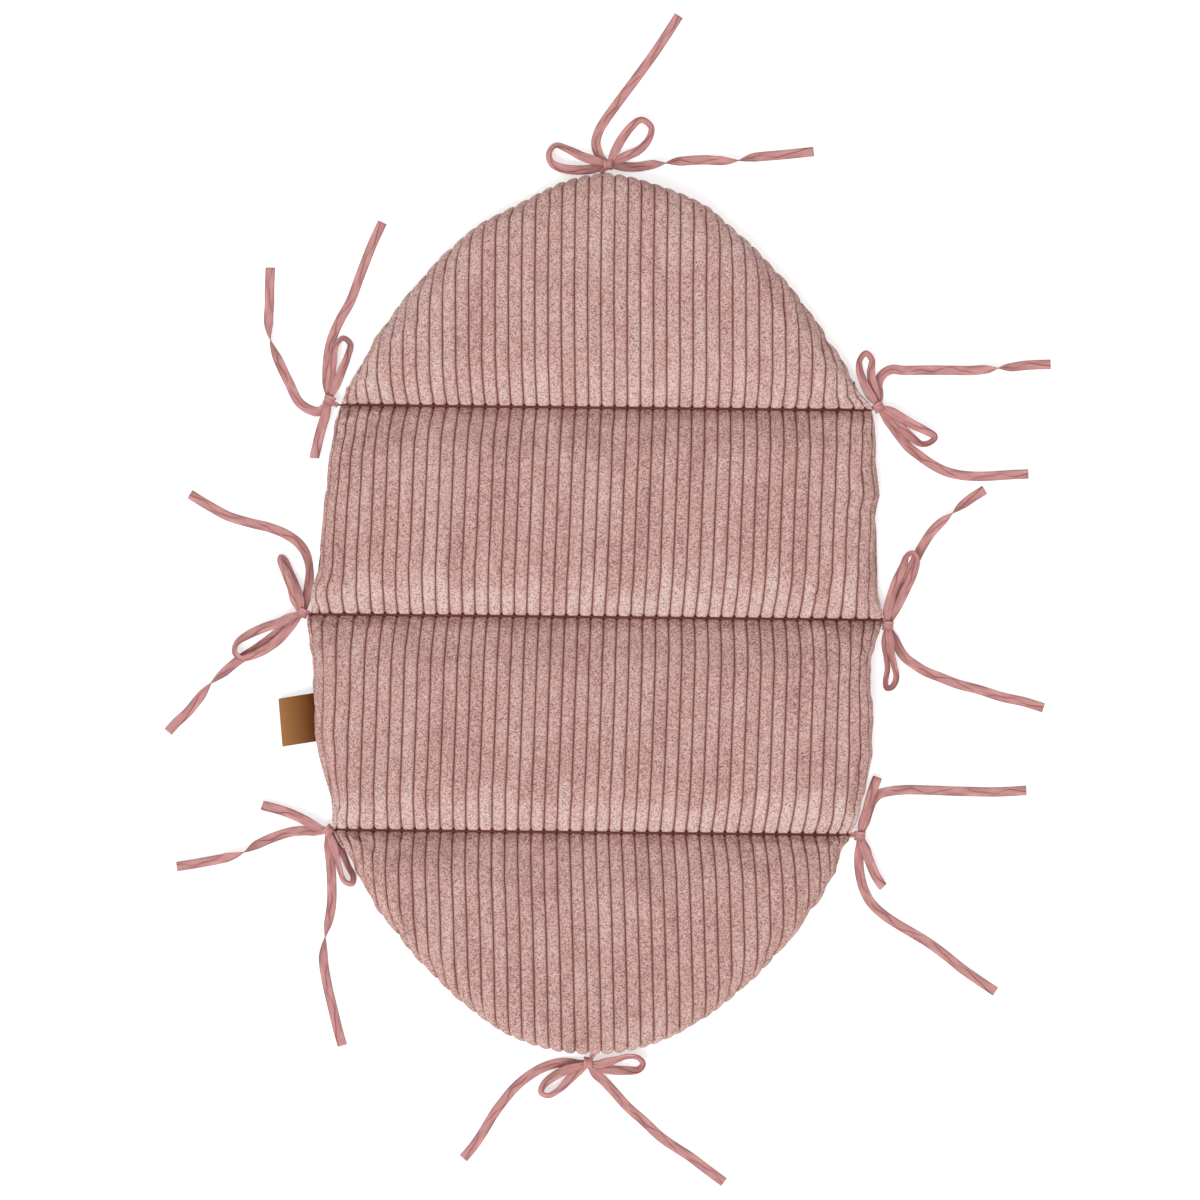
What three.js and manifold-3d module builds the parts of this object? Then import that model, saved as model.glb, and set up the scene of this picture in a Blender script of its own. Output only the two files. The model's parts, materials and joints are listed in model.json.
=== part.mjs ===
// Padded liner of an infant lounger: four quilted corduroy panels in one oval, sewn across in three
// places where the pad folds, with eight bows of flat tape on its edge and a folded leather tab.
// Millimetres. The head end points to +Y, the corduroy face to +Z, and the back cloth lies on Z = 0.

import * as THREE from "three";
import { mergeVertices } from "three/addons/utils/BufferGeometryUtils.js";
import Module from "manifold-3d";

const wasm = await Module();
wasm.setup();

// Driving sizes of the pad
const headLength = 200;
const upperLength = 178;
const lowerLength = 183;
const footLength = 189;
const headSeamHalfWidth = 223.5;
const middleSeamHalfWidth = 239;
const footSeamHalfWidth = 217.5;
const seamHeight = 9;
const crownRise = 17;
const middleDoming = 1.5;
const domingReach = 90;
const clearance = 0.3;

// The cross seams, where top and back cover are stitched flat together
const seamThreadRadius = 1.7;
const seamShoulder = 40;
const backSeamShoulder = 15;

// The pad's outer edge
const edgeRound = 17;
const backEdgeRound = 12;
const edgeLip = 1.2;
const cornerHeight = 2.5;
const restCut = 0.5;

// The covers
const corduroyThickness = 3.2;
const coverInset = 3.2;
const backClothThickness = 1.6;
const waleWidth = 11.2;
const waleDepth = 2.2;
const edgeWaleInset = 2;

// How the sides of the two middle panels swell between the seams
const upperSwell = 10.5;
const upperSwellSharpness = 12;
const lowerSwell = 36;
const lowerSwellSharpness = 2;

// How round the two ends are: the outline is halfWidth * (1 - s ^ flat) ^ full along its length
const headFlat = 1.19;
const headFull = 0.55;
const footFlat = 1.18;
const footFull = 0.5;

// Exponents of the rounded shoulders
const edgeRoundness = 2;
const seamRoundness = 1.6;

// The folded leather tab in the left edge of the lower panel
const tabReach = 29;
const tabWidth = 41;
const tabLeather = 1;
const tabFoldGap = 0.5;
const tabFromMiddleSeam = 86;
const tabDroop = 4;

// The ties
const tapeWidth = 8;
const tapeThickness = 0.8;
const tapeStep = 10;
const tapeFloorGap = 0.2;
const turnPerStep = 45;
const knotRadius = 4.6;
const knotHeight = 10.2;
const knotChamfer = 1.4;
const tieRootWidth = 3.2;
const tieRootThickness = 2;
const tieRootStraight = 2.2;
const knotSides = 12;
const seamSides = 10;

// Rows of points along a panel, and columns across it, as shares of its length and half width
const bandRowShares = [0, 0.03, 0.18, 0.5, 0.82, 0.97, 1];
const capRowShares = [0, 0.03, 0.18, 0.6, 0.88, 0.975, 1];
const plainBandRowShares = [0, 0.05, 0.2, 0.5, 0.8, 0.95, 1];
const plainCapRowShares = [0, 0.05, 0.2, 0.75, 0.94, 1];
const plainBandColumnShares = [-1, -0.96, -0.8, 0, 0.8, 0.96, 1];
const plainCapColumnShares = [-1, -0.97, -0.88, -0.73, -0.5, -0.25, 0, 0.25, 0.5, 0.73, 0.88, 0.97, 1];

// Each tie, from its anchor on the pad's edge: the knot's x and y, then the loops and tails of its
// two legs. A point is x, y, the lift of the tape above where it would lie, and the turn of its face
// in degrees.
const tieRoutes = {
  head_tie: {
    knot: [5, 7],
    loop_a: [
      [-4.5, 9.5, 6.5, 0], [-17, 13.5, 6, 20], [-29, 19.5, 3.5, 60], [-39.5, 23, 2, 90],
      [-45, 17, 2, 90], [-43.5, 8.5, 2, 80], [-34, 3.5, 2.5, 40], [-18.5, 2, 4, 10],
      [-6, 3.5, 4, 0],
    ],
    tail_a: [
      [-2, 14.5, 2, 0], [-5.5, 24, 1, 0], [-3.5, 34.5, 0, 0], [3, 46, 0, 0], [15.5, 63.5, 0, 0],
      [30.5, 84, 0, 0], [45, 104.5, 0, 0], [56, 121.5, 0, 0], [64, 134.5, 0, 0],
    ],
    loop_b: [
      [10, 16.5, 6.5, 0], [16.5, 28.5, 6, 30], [25, 39.5, 4, 60], [33.5, 45, 2, 90],
      [41.5, 39, 2, 90], [39.5, 28.5, 2, 70], [32, 20, 2.5, 40], [22, 15, 4, 10],
      [14.5, 11.5, 4, 0],
    ],
    tail_b: [
      [17, 5.5, 2, 0], [30.5, 5.5, 0, 0], [42.5, 7.5, 0, 20], [53.5, 8.5, 0, 90],
      [66, 10.5, 0, 165], [85, 12, 0, 180], [100, 11.5, 0, 195], [115.5, 11.5, 0, 270],
      [130, 14.5, 0, 345], [153, 17, 0, 360], [180, 20, 0, 360],
    ],
  },
  left_upper_tie: {
    knot: [-6.5, 4],
    loop_a: [
      [-1.5, 16, 6.5, 0], [3.5, 28, 6, 50], [9, 41.5, 4, 80], [11, 52, 2, 90], [5, 57, 2, 90],
      [-1, 51, 2, 90], [-3.5, 37.5, 3, 60], [-6.5, 18, 4, 0],
    ],
    tail_a: [
      [-8.5, 17.5, 2, 0], [-8.5, 37.5, 0, 0], [-5.5, 55, 0, 0], [2, 73, 0, 0], [10.5, 88.5, 0, 0],
      [17, 106.5, 0, 0], [22, 120, 0, 0], [28.5, 137, 0, 0], [37, 156, 0, 0],
    ],
    loop_b: [
      [-9, -7, 6.5, 0], [-13.5, -21.5, 6, 0], [-16.5, -34, 4.5, 0], [-18.5, -43.5, 4, 0],
      [-18.5, -45, 2, 0], [-18.5, -43.5, 0, 0], [-16.5, -34, 0.5, 0], [-13.5, -21.5, 2, 0],
      [-9, -7, 4, 0],
    ],
    tail_b: [
      [-15, -5.5, 2, 0], [-24.5, -3.5, 0, 0], [-33, 3, 0, 0], [-40.5, 17.5, 0, 0], [-50, 37, 0, 10],
      [-57, 54.5, 0, 90], [-59, 70, 0, 170], [-58.5, 86, 0, 180], [-58.5, 99.5, 0, 180],
      [-58, 116.5, 0, 180],
    ],
  },
  right_upper_tie: {
    knot: [14, 3],
    loop_a: [
      [7, 12, 6.5, 0], [1, 23, 6, 30], [-2.5, 33.5, 4, 60], [-2.5, 42.5, 2, 90], [2.5, 48.5, 2, 90],
      [7.5, 43.5, 2, 90], [7, 32.5, 3, 60], [9.5, 20.5, 4, 10], [12, 13, 4, 0],
    ],
    tail_a: [
      [14.5, 12.5, 2, 0], [13, 21, 1, 0], [16.5, 30, 0, 0], [24, 35, 0, 0], [36, 34.5, 0, 0],
      [55.5, 35, 0, 0], [74, 35, 0, 0], [92.5, 35, 0, 0], [105.5, 36, 0, 30], [115, 37, 0, 90],
      [125, 38, 0, 150], [140.5, 40, 0, 180], [160, 41, 0, 180],
    ],
    loop_b: [
      [22.5, 0.5, 6.5, 0], [31, -4.5, 6, 10], [42, -11, 4, 30], [54, -17, 2.5, 60],
      [62, -22, 2, 90], [57.5, -27, 2, 90], [50, -28, 2, 80], [42.5, -23, 2.5, 40],
      [33.5, -14.5, 3.5, 10], [23.5, -5.5, 4, 0],
    ],
    tail_b: [
      [20, -5.5, 2, 0], [25, -12, 1, 0], [31, -20, 0, 0], [39, -30, 0, 0], [48.5, -37.5, 0, 0],
      [61, -46, 0, 0], [71.5, -51, 0, 0], [83.5, -54, 0, 0], [98.5, -55, 0, 0],
      [112.5, -54.5, 0, 0], [125, -53.5, 0, 0], [142, -52.5, 0, 0],
    ],
  },
  left_middle_tie: {
    knot: [-12, 1],
    loop_a: [
      [-14, 11, 6.5, 10], [-17.5, 24, 6, 70], [-22.5, 36.5, 4, 90], [-27.5, 46.5, 2, 90],
      [-31, 48.5, 2, 90], [-31.5, 45, 2, 90], [-27.5, 34.5, 3, 90], [-22, 22, 4, 70],
      [-18, 10, 4, 10],
    ],
    tail_a: [
      [-9, 12, 2, 0], [-7, 25.5, 0, 20], [-6.5, 39, 0, 40], [-10, 52, 0, 20], [-17, 61, 0, 0],
      [-27.5, 68, 0, 0], [-42, 73.5, 0, 0], [-57, 77, 0, 0], [-76, 82.5, 0, 0], [-90.5, 90, 0, 0],
      [-109, 101, 0, 0],
    ],
    loop_b: [
      [-20.5, -2, 6.5, 0], [-30, -7, 6, 10], [-44.5, -12, 4, 20], [-58.5, -18.5, 2.5, 50],
      [-68, -26, 2, 90], [-69, -33.5, 2, 90], [-63.5, -38, 2, 90], [-54.5, -36, 2.5, 60],
      [-42.5, -30, 3, 30], [-31.5, -21.5, 4, 10], [-20.5, -8.5, 4, 0],
    ],
    tail_b: [
      [-19.5, -7, 2, 0], [-29, -13.5, 1, 0], [-41, -22.5, 0, 0], [-52.5, -31, 0, 0],
      [-65.5, -39.5, 0, 0], [-78, -50, 0, 20], [-89.5, -60, 0, 90], [-98.5, -71.5, 0, 165],
      [-109, -84.5, 0, 180], [-118.5, -93.5, 0, 180], [-125.5, -101.5, 0, 180],
    ],
  },
  right_middle_tie: {
    knot: [8, -5],
    loop_a: [
      [7, 5, 6.5, 0], [9.5, 16, 6, 10], [14.5, 31.5, 4, 20], [20.5, 45, 2.5, 50],
      [23.5, 54.5, 2, 90], [28.5, 57, 2, 90], [32, 52, 2, 90], [29.5, 41, 2.5, 50],
      [23, 26.5, 3.5, 20], [16.5, 13, 4.5, 10], [12, 4.5, 4, 0],
    ],
    tail_a: [
      [10.5, 4.5, 2, 0], [15.5, 16, 0, 0], [22, 31.5, 0, 0], [29.5, 48, 0, 0], [37, 63, 0, 0],
      [45.5, 76, 0, 0], [54, 84.5, 0, 30], [62.5, 91.5, 0, 90], [70.5, 98.5, 0, 150],
      [80, 105.5, 0, 180], [89.5, 111.5, 0, 180],
    ],
    loop_b: [
      [10, -16, 6.5, 20], [11, -27, 5, 80], [13.5, -38, 3, 90], [15.5, -49.5, 2, 90],
      [12, -57, 2, 90], [7.5, -58, 2, 90], [6.5, -52, 2, 90], [8, -41, 2.5, 90], [7, -30, 3.5, 80],
      [6.5, -17, 4, 20],
    ],
    tail_b: [
      [13, -14.5, 2, 0], [17.5, -23.5, 0.5, 0], [23.5, -32, 0, 0], [31.5, -38, 0, 0],
      [40.5, -43.5, 0, 0], [52, -48, 0, 0], [68, -54, 0, 0], [86, -58.5, 0, 0],
      [105.5, -64.5, 0, 0], [124.5, -68.5, 0, 0], [141.5, -73.5, 0, 0],
    ],
  },
  left_lower_tie: {
    knot: [-9.5, -1],
    loop_a: [
      [-19, 2, 6.5, 0], [-27.5, 6.5, 6.5, 0], [-38, 11.5, 5, 0], [-50.5, 16, 4, 0],
      [-64.5, 19.5, 4, 0], [-66, 20, 2, 0], [-64.5, 19.5, 0, 0], [-50.5, 16, 0.5, 0],
      [-38, 11.5, 2, 0], [-27.5, 6.5, 3.5, 0], [-19, 1.5, 4, 0],
    ],
    tail_a: [
      [-19, -2, 2, 0], [-28.5, -1.5, 1, 0], [-40.5, -2.5, 0, 0], [-54, -6.5, 0, 0],
      [-70, -13.5, 0, 20], [-81, -20, 0, 90], [-96, -25, 0, 165], [-112.5, -28.5, 0, 180],
      [-128.5, -31.5, 0, 180], [-138.5, -33, 0, 180],
    ],
    loop_b: [
      [-5.5, -11.5, 6.5, 20], [-2, -23, 5, 80], [1, -36, 3, 90], [5, -44.5, 2, 90],
      [11, -46, 2, 90], [12, -40, 2, 90], [7.5, -31, 2.5, 90], [3, -20.5, 3.5, 80],
      [-2, -11.5, 4, 20],
    ],
    tail_b: [
      [-9.5, -11.5, 2, 0], [-8, -25, 0, 0], [-6.5, -44.5, 0, 0], [-6.5, -64, 0, 0],
      [-9, -80, 0, 30], [-11.5, -92, 0, 90], [-13, -108.5, 0, 160], [-10, -129.5, 0, 180],
      [-5, -150.5, 0, 180], [-0.5, -168.5, 0, 180], [4, -184, 0, 180],
    ],
  },
  right_lower_tie: {
    knot: [7.5, -1],
    loop_a: [
      [9, 8.5, 6.5, 0], [12.5, 18, 6.5, 0], [16, 30.5, 5.5, 0], [19.5, 42, 5, 0],
      [21.5, 47.5, 5, 0], [22, 49, 3, 0], [21.5, 47.5, 1.5, 0], [19.5, 42, 1.5, 0],
      [16, 30.5, 2, 0], [13, 18, 3, 0], [10, 8.5, 4, 0],
    ],
    tail_a: [
      [11.5, 8.5, 2, 0], [15, 20.5, 0.5, 0], [18.5, 29, 0, 0], [24, 34.5, 0, 0], [32.5, 37, 0, 0],
      [45.5, 38.5, 0, 0], [62.5, 38.5, 0, 0], [80, 38, 0, 0], [102.5, 37.5, 0, 0],
      [124.5, 37.5, 0, 0], [149, 39, 0, 0],
    ],
    loop_b: [
      [11, -10, 6.5, 0], [15.5, -21, 6.5, 0], [20.5, -33, 5, 0], [26.5, -42.5, 4, 0],
      [28, -44, 2, 0], [26.5, -42.5, 0.5, 0], [20.5, -33, 1, 0], [15.5, -21, 3, 0], [12, -10, 4, 0],
    ],
    tail_b: [
      [7.5, -11, 2, 0], [7, -21.5, 0, 0], [8, -33, 0, 0], [11.5, -46.5, 0, 0], [17.5, -57.5, 0, 0],
      [26, -66, 0, 0], [36.5, -73.5, 0, 0], [51, -82, 0, 0], [65.5, -90.5, 0, 0],
      [81, -101.5, 0, 0], [95.5, -113, 0, 0], [110, -123, 0, 0], [124.5, -132.5, 0, 0],
    ],
  },
  foot_tie: {
    knot: [-4, -7],
    loop_a: [
      [-12.5, -10.5, 6.5, 0], [-23, -13.5, 6, 10], [-34, -19.5, 4, 40], [-42.5, -27, 2.5, 80],
      [-44, -33, 2, 90], [-38, -35.5, 2, 90], [-29.5, -31, 2, 80], [-22, -23.5, 3, 40],
      [-15, -16.5, 4, 10], [-10, -13, 4, 0],
    ],
    tail_a: [
      [-13.5, -8, 2, 0], [-26.5, -7.5, 0, 0], [-40, -11, 0, 0], [-53.5, -18.5, 0, 0],
      [-66, -29, 0, 0], [-76, -41, 0, 0], [-84.5, -53, 0, 0], [-93, -67.5, 0, 0],
      [-101, -79.5, 0, 0], [-109.5, -90, 0, 0],
    ],
    loop_b: [
      [4.5, -8, 6.5, 0], [13, -6, 6, 30], [21.5, -3.5, 4, 80], [29.5, -1.5, 2.5, 90],
      [38, -2.5, 2, 90], [42.5, -7.5, 2, 90], [39, -12.5, 2, 80], [28, -13.5, 2.5, 40],
      [16.5, -13, 4, 10], [6, -11.5, 4, 0],
    ],
    tail_b: [
      [1, -15.5, 2, 0], [9.5, -23, 0.5, 0], [19, -33, 0, 0], [30, -45, 0, 0], [44, -57, 0, 0],
      [57.5, -69.5, 0, 0], [72, -79.5, 0, 0], [82.5, -86, 0, 0], [96, -96, 0, 0],
      [112.5, -108, 0, 0],
    ],
  },
};

// Places that follow from the sizes
const padLength = headLength + upperLength + lowerLength + footLength;
const headTipY = padLength / 2;
const headSeamY = headTipY - headLength;
const middleSeamY = headSeamY - upperLength;
const footSeamY = middleSeamY - lowerLength;
const footTipY = footSeamY - footLength;
const seamClear = seamThreadRadius + clearance;

// Colours and finishes
const corduroy = new THREE.MeshStandardMaterial({ color: 0xc1998f, roughness: 0.95, metalness: 0 });
const backCloth = new THREE.MeshStandardMaterial({ color: 0xc48f8d, roughness: 0.9, metalness: 0 });
const wadding = new THREE.MeshStandardMaterial({ color: 0xf2efe9, roughness: 1, metalness: 0 });
const seamCloth = new THREE.MeshStandardMaterial({ color: 0x8a5a55, roughness: 0.95, metalness: 0 });
const tape = new THREE.MeshStandardMaterial({ color: 0xc78f8e, roughness: 0.85, metalness: 0 });
const leather = new THREE.MeshStandardMaterial({ color: 0x9a6838, roughness: 0.5, metalness: 0 });

// A closed mesh from points and triangles.
function geometryOf(points, triangles) {
  const geometry = new THREE.BufferGeometry();
  geometry.setAttribute("position", new THREE.Float32BufferAttribute(points.flat(), 3));
  geometry.setIndex(triangles.flat());
  geometry.computeVertexNormals();
  return geometry;
}

function solidOf(geometry) {
  const bare = geometry.clone();
  bare.deleteAttribute("normal");
  bare.deleteAttribute("uv");
  const merged = mergeVertices(bare);
  return new wasm.Manifold(
    new wasm.Mesh({
      numProp: 3,
      vertProperties: new Float32Array(merged.attributes.position.array),
      triVerts: new Uint32Array(merged.index.array),
    }),
  );
}

function geometryOfSolid(solid) {
  const mesh = solid.getMesh();
  const geometry = new THREE.BufferGeometry();
  geometry.setAttribute("position", new THREE.BufferAttribute(mesh.vertProperties, 3));
  geometry.setIndex(new THREE.BufferAttribute(mesh.triVerts, 1));
  geometry.computeVertexNormals();
  return geometry;
}

// How far a shoulder of the given width has risen, from 0 to 1, at a distance from its edge.
function shoulder(distance, width, roundness) {
  const left = 1 - Math.min(Math.max(distance / width, 0), 1);
  return (1 - left ** roundness) ** (1 / roundness);
}

// A panel with a rounded end. Along it, s runs from the seam to the tip.
function capPanel({ name, length, halfWidth, flat, full, seamY, direction }) {
  const halfAt = (s) => halfWidth * (1 - Math.min(s / length, 1) ** flat) ** full;
  const tipAt = (x) => length * (1 - Math.min(x / halfWidth, 1) ** (1 / full)) ** (1 / flat);
  return {
    name,
    seamY,
    direction,
    waleHalf: halfWidth,
    rows: capRowShares,
    plainRows: plainCapRowShares,
    plainColumns: plainCapColumnShares,
    // The point at a share of the way along the column that starts at x
    place(column, share, inset, shrink = 0) {
      const x = (column / halfWidth) * (halfWidth - inset);
      const start = seamClear + inset;
      const end = Math.max(tipAt(Math.abs(x) + inset) - inset, start + cornerHeight);
      const run = end - start - 2 * shrink;
      return [x - (column / halfWidth) * shrink, start + shrink + share * run];
    },
    // Distances to the outer edge and to the one seam
    distances(x, s) {
      const across = Math.max(halfAt(s) - Math.abs(x), 0);
      const along = Math.max(tipAt(Math.abs(x)) - s, 0);
      const edge = across + along > 0 ? (across * along) / Math.hypot(across, along) : 0;
      return { edge, seams: [s - seamClear] };
    },
  };
}

// A panel between two seams. Along it, s runs from its head seam to its foot seam.
function bandPanel({ name, length, startHalf, endHalf, swell, sharpness, seamY }) {
  const halfAt = (s) => {
    const left = 1 - s / length;
    return endHalf + (startHalf - endHalf) * left + swell * (left - left ** sharpness);
  };
  const waleHalf = Math.max(startHalf, endHalf);
  return {
    name,
    seamY,
    direction: -1,
    waleHalf,
    rows: bandRowShares,
    plainRows: plainBandRowShares,
    plainColumns: plainBandColumnShares,
    // Wales near the sides are drawn in with them, and those in the middle run straight
    place(column, share, inset, shrink = 0) {
      const start = seamClear + inset + shrink;
      const s = start + share * (length - 2 * start);
      const out = column / waleHalf;
      const x = column + (halfAt(s) - waleHalf) * out ** 3 - (inset + shrink) * out;
      return [x, s];
    },
    distances(x, s) {
      return {
        edge: Math.max(halfAt(s) - Math.abs(x), 0),
        seams: [s - seamClear, length - seamClear - s],
      };
    },
  };
}

const panels = [
  capPanel({
    name: "head",
    length: headLength,
    halfWidth: headSeamHalfWidth,
    flat: headFlat,
    full: headFull,
    seamY: headSeamY,
    direction: 1,
  }),
  bandPanel({
    name: "upper",
    length: upperLength,
    startHalf: headSeamHalfWidth,
    endHalf: middleSeamHalfWidth,
    swell: upperSwell,
    sharpness: upperSwellSharpness,
    seamY: headSeamY,
  }),
  bandPanel({
    name: "lower",
    length: lowerLength,
    startHalf: middleSeamHalfWidth,
    endHalf: footSeamHalfWidth,
    swell: lowerSwell,
    sharpness: lowerSwellSharpness,
    seamY: middleSeamY,
  }),
  capPanel({
    name: "foot",
    length: footLength,
    halfWidth: footSeamHalfWidth,
    flat: footFlat,
    full: footFull,
    seamY: footSeamY,
    direction: -1,
  }),
];

// The tab's root on the edge of the lower panel, and its run out past the pad's widest place
const lowerHalfAt = (s) => panels[2].place(panels[2].waleHalf, s / lowerLength, 0)[0];
const tabRoot = lowerHalfAt(tabFromMiddleSeam);
const tabHead = lowerHalfAt(tabFromMiddleSeam - tabWidth / 2);
const tabFoot = lowerHalfAt(tabFromMiddleSeam + tabWidth / 2);
const tabSlant = Math.atan((tabHead - tabFoot) / tabWidth);
const widest = Math.max(
  ...panels.flatMap((panel) => panel.rows.map((row) => panel.place(panel.waleHalf, row, 0)[0])),
);
const tabRun =
  (widest + tabReach - tabRoot - clearance) / Math.cos(tabSlant) - (tabWidth / 2) * Math.tan(tabSlant);

// How far a point of a panel's face has risen from the lip to the crown, from 0 to 1.
function rise(panel, x, s, inset, edgeWidth, seamWidth) {
  const { edge, seams } = panel.distances(x, s);
  let share = shoulder(edge - inset, edgeWidth, edgeRoundness);
  for (const seam of seams) share *= shoulder(seam - inset, seamWidth, seamRoundness);
  return share;
}

// The height of the corduroy face above the seams, or of a face `inset` in from its edges and
// `drop` below it.
function topHeight(panel, x, s, inset, drop, grooveShare) {
  const share = rise(panel, x, s, inset, edgeRound, seamShoulder);
  const { edge, seams } = panel.distances(x, s);
  const inward = Math.min(Math.min(edge, ...seams) / domingReach, 1);
  const doming = middleDoming * Math.sin((inward * Math.PI) / 2);
  const full = crownRise - middleDoming + doming - drop - edgeLip;
  return edgeLip + full * share - grooveShare * waleDepth * share;
}

// The depth of the back face below the seams, cut flat where the pad rests, or of a face inside it.
function backDepth(panel, x, s, inset, drop) {
  const share = rise(panel, x, s, inset, backEdgeRound, backSeamShoulder);
  const full = seamHeight + restCut - drop - edgeLip;
  return Math.min(edgeLip + full * share, seamHeight - drop);
}

// Columns of points across a panel: the crest and the groove of each wale, and the two edges.
function waleColumns(panel) {
  const columns = [{ x: 0, groove: 0 }];
  for (let k = 1; (k * waleWidth) / 2 < panel.waleHalf - 2 * edgeWaleInset; k++) {
    const x = (k * waleWidth) / 2;
    columns.push({ x, groove: k % 2 });
    columns.unshift({ x: -x, groove: k % 2 });
  }
  for (const inset of [edgeWaleInset, 0]) {
    columns.push({ x: panel.waleHalf - inset, groove: 0 });
    columns.unshift({ x: inset - panel.waleHalf, groove: 0 });
  }
  return columns;
}

function plainColumns(panel) {
  return panel.plainColumns.map((share) => ({ x: share * panel.waleHalf, groove: 0 }));
}

// A closed body on a panel's outline, between a face above and a face below, as a solid.
function pillow(panel, { columns, rows, inset, shrink, above, below }) {
  const points = [];
  for (const face of [above, below]) {
    for (const { x: column, groove } of columns) {
      for (const share of rows) {
        const [x, s] = panel.place(column, share, inset, shrink);
        const y = panel.seamY + panel.direction * s;
        points.push([x, y, face(x, s, groove)]);
      }
    }
  }
  const count = rows.length;
  const below0 = columns.length * count;
  const triangles = [];
  const quad = (a, b, c, d) => {
    const ring = panel.direction > 0 ? [a, b, c, d] : [d, c, b, a];
    triangles.push([ring[0], ring[1], ring[2]], [ring[0], ring[2], ring[3]]);
  };
  for (let i = 0; i + 1 < columns.length; i++) {
    for (let j = 0; j + 1 < count; j++) {
      const a = i * count + j;
      quad(a, a + count, a + count + 1, a + 1);
      quad(below0 + a, below0 + a + 1, below0 + a + count + 1, below0 + a + count);
    }
    const start = i * count;
    const end = start + count - 1;
    quad(start, below0 + start, below0 + start + count, start + count);
    quad(end, end + count, below0 + end + count, below0 + end);
  }
  for (let j = 0; j + 1 < count; j++) {
    const far = (columns.length - 1) * count + j;
    quad(j, j + 1, below0 + j + 1, below0 + j);
    quad(far, below0 + far, below0 + far + 1, far + 1);
  }
  return solidOf(geometryOf(points, triangles));
}

// The corduroy face of a panel, a crowned shell with its wales, open below.
function topCover(panel) {
  const plain = { columns: plainColumns(panel), rows: panel.plainRows };
  const outside = pillow(panel, {
    columns: waleColumns(panel),
    rows: panel.rows,
    inset: 0,
    above: (x, s, groove) => seamHeight + topHeight(panel, x, s, 0, 0, groove),
    below: () => seamHeight + clearance / 2,
  });
  const hollow = pillow(panel, {
    ...plain,
    inset: coverInset,
    above: (x, s) => seamHeight + topHeight(panel, x, s, coverInset, corduroyThickness, 0),
    below: () => seamHeight - clearance,
  });
  return geometryOfSolid(outside.subtract(hollow));
}

// The back cloth of a panel, a shallow tray that the pad rests on.
function backCover(panel) {
  const plain = { columns: plainColumns(panel), rows: panel.plainRows };
  const outside = pillow(panel, {
    ...plain,
    inset: 0,
    above: () => seamHeight - clearance / 2,
    below: (x, s) => seamHeight - backDepth(panel, x, s, 0, 0),
  });
  const hollow = pillow(panel, {
    ...plain,
    inset: coverInset,
    above: () => seamHeight + clearance,
    below: (x, s) => seamHeight - backDepth(panel, x, s, coverInset, backClothThickness),
  });
  return geometryOfSolid(outside.subtract(hollow));
}

// The wadding of a panel, which fills its two covers.
function waddingCore(panel) {
  const inset = coverInset + clearance;
  const topDrop = corduroyThickness + clearance;
  const backDrop = backClothThickness + clearance;
  const core = pillow(panel, {
    columns: plainColumns(panel),
    rows: panel.plainRows,
    inset: coverInset,
    shrink: clearance,
    above: (x, s) => seamHeight + topHeight(panel, x, s, inset, topDrop, 0),
    below: (x, s) => seamHeight - backDepth(panel, x, s, inset, backDrop),
  });
  return geometryOfSolid(core);
}

// The stitched line of a cross seam, round its fold axis.
function crossSeam(halfWidth) {
  const geometry = new THREE.CylinderGeometry(
    seamThreadRadius,
    seamThreadRadius,
    2 * halfWidth,
    seamSides,
  );
  return geometry.rotateZ(Math.PI / 2);
}

// The leather tab: one strip folded double at its outer end, sewn in by both its ends.
function leatherTab() {
  const height = 2 * tabLeather + tabFoldGap;
  const outer = height / 2;
  const inner = tabFoldGap / 2;
  const profile = new THREE.Shape();
  profile.moveTo(0, outer);
  profile.lineTo(outer - tabRun, outer);
  profile.absarc(outer - tabRun, 0, outer, Math.PI / 2, (3 * Math.PI) / 2, false);
  profile.lineTo(0, -outer);
  profile.lineTo(0, -inner);
  profile.lineTo(outer - tabRun, -inner);
  profile.absarc(outer - tabRun, 0, inner, (3 * Math.PI) / 2, Math.PI / 2, true);
  profile.lineTo(0, inner);
  profile.closePath();
  const geometry = new THREE.ExtrudeGeometry(profile, {
    depth: tabWidth,
    bevelEnabled: false,
    curveSegments: 6,
  });
  geometry.rotateX(Math.PI / 2);
  return geometry.translate(0, tabWidth / 2, 0);
}

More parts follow.
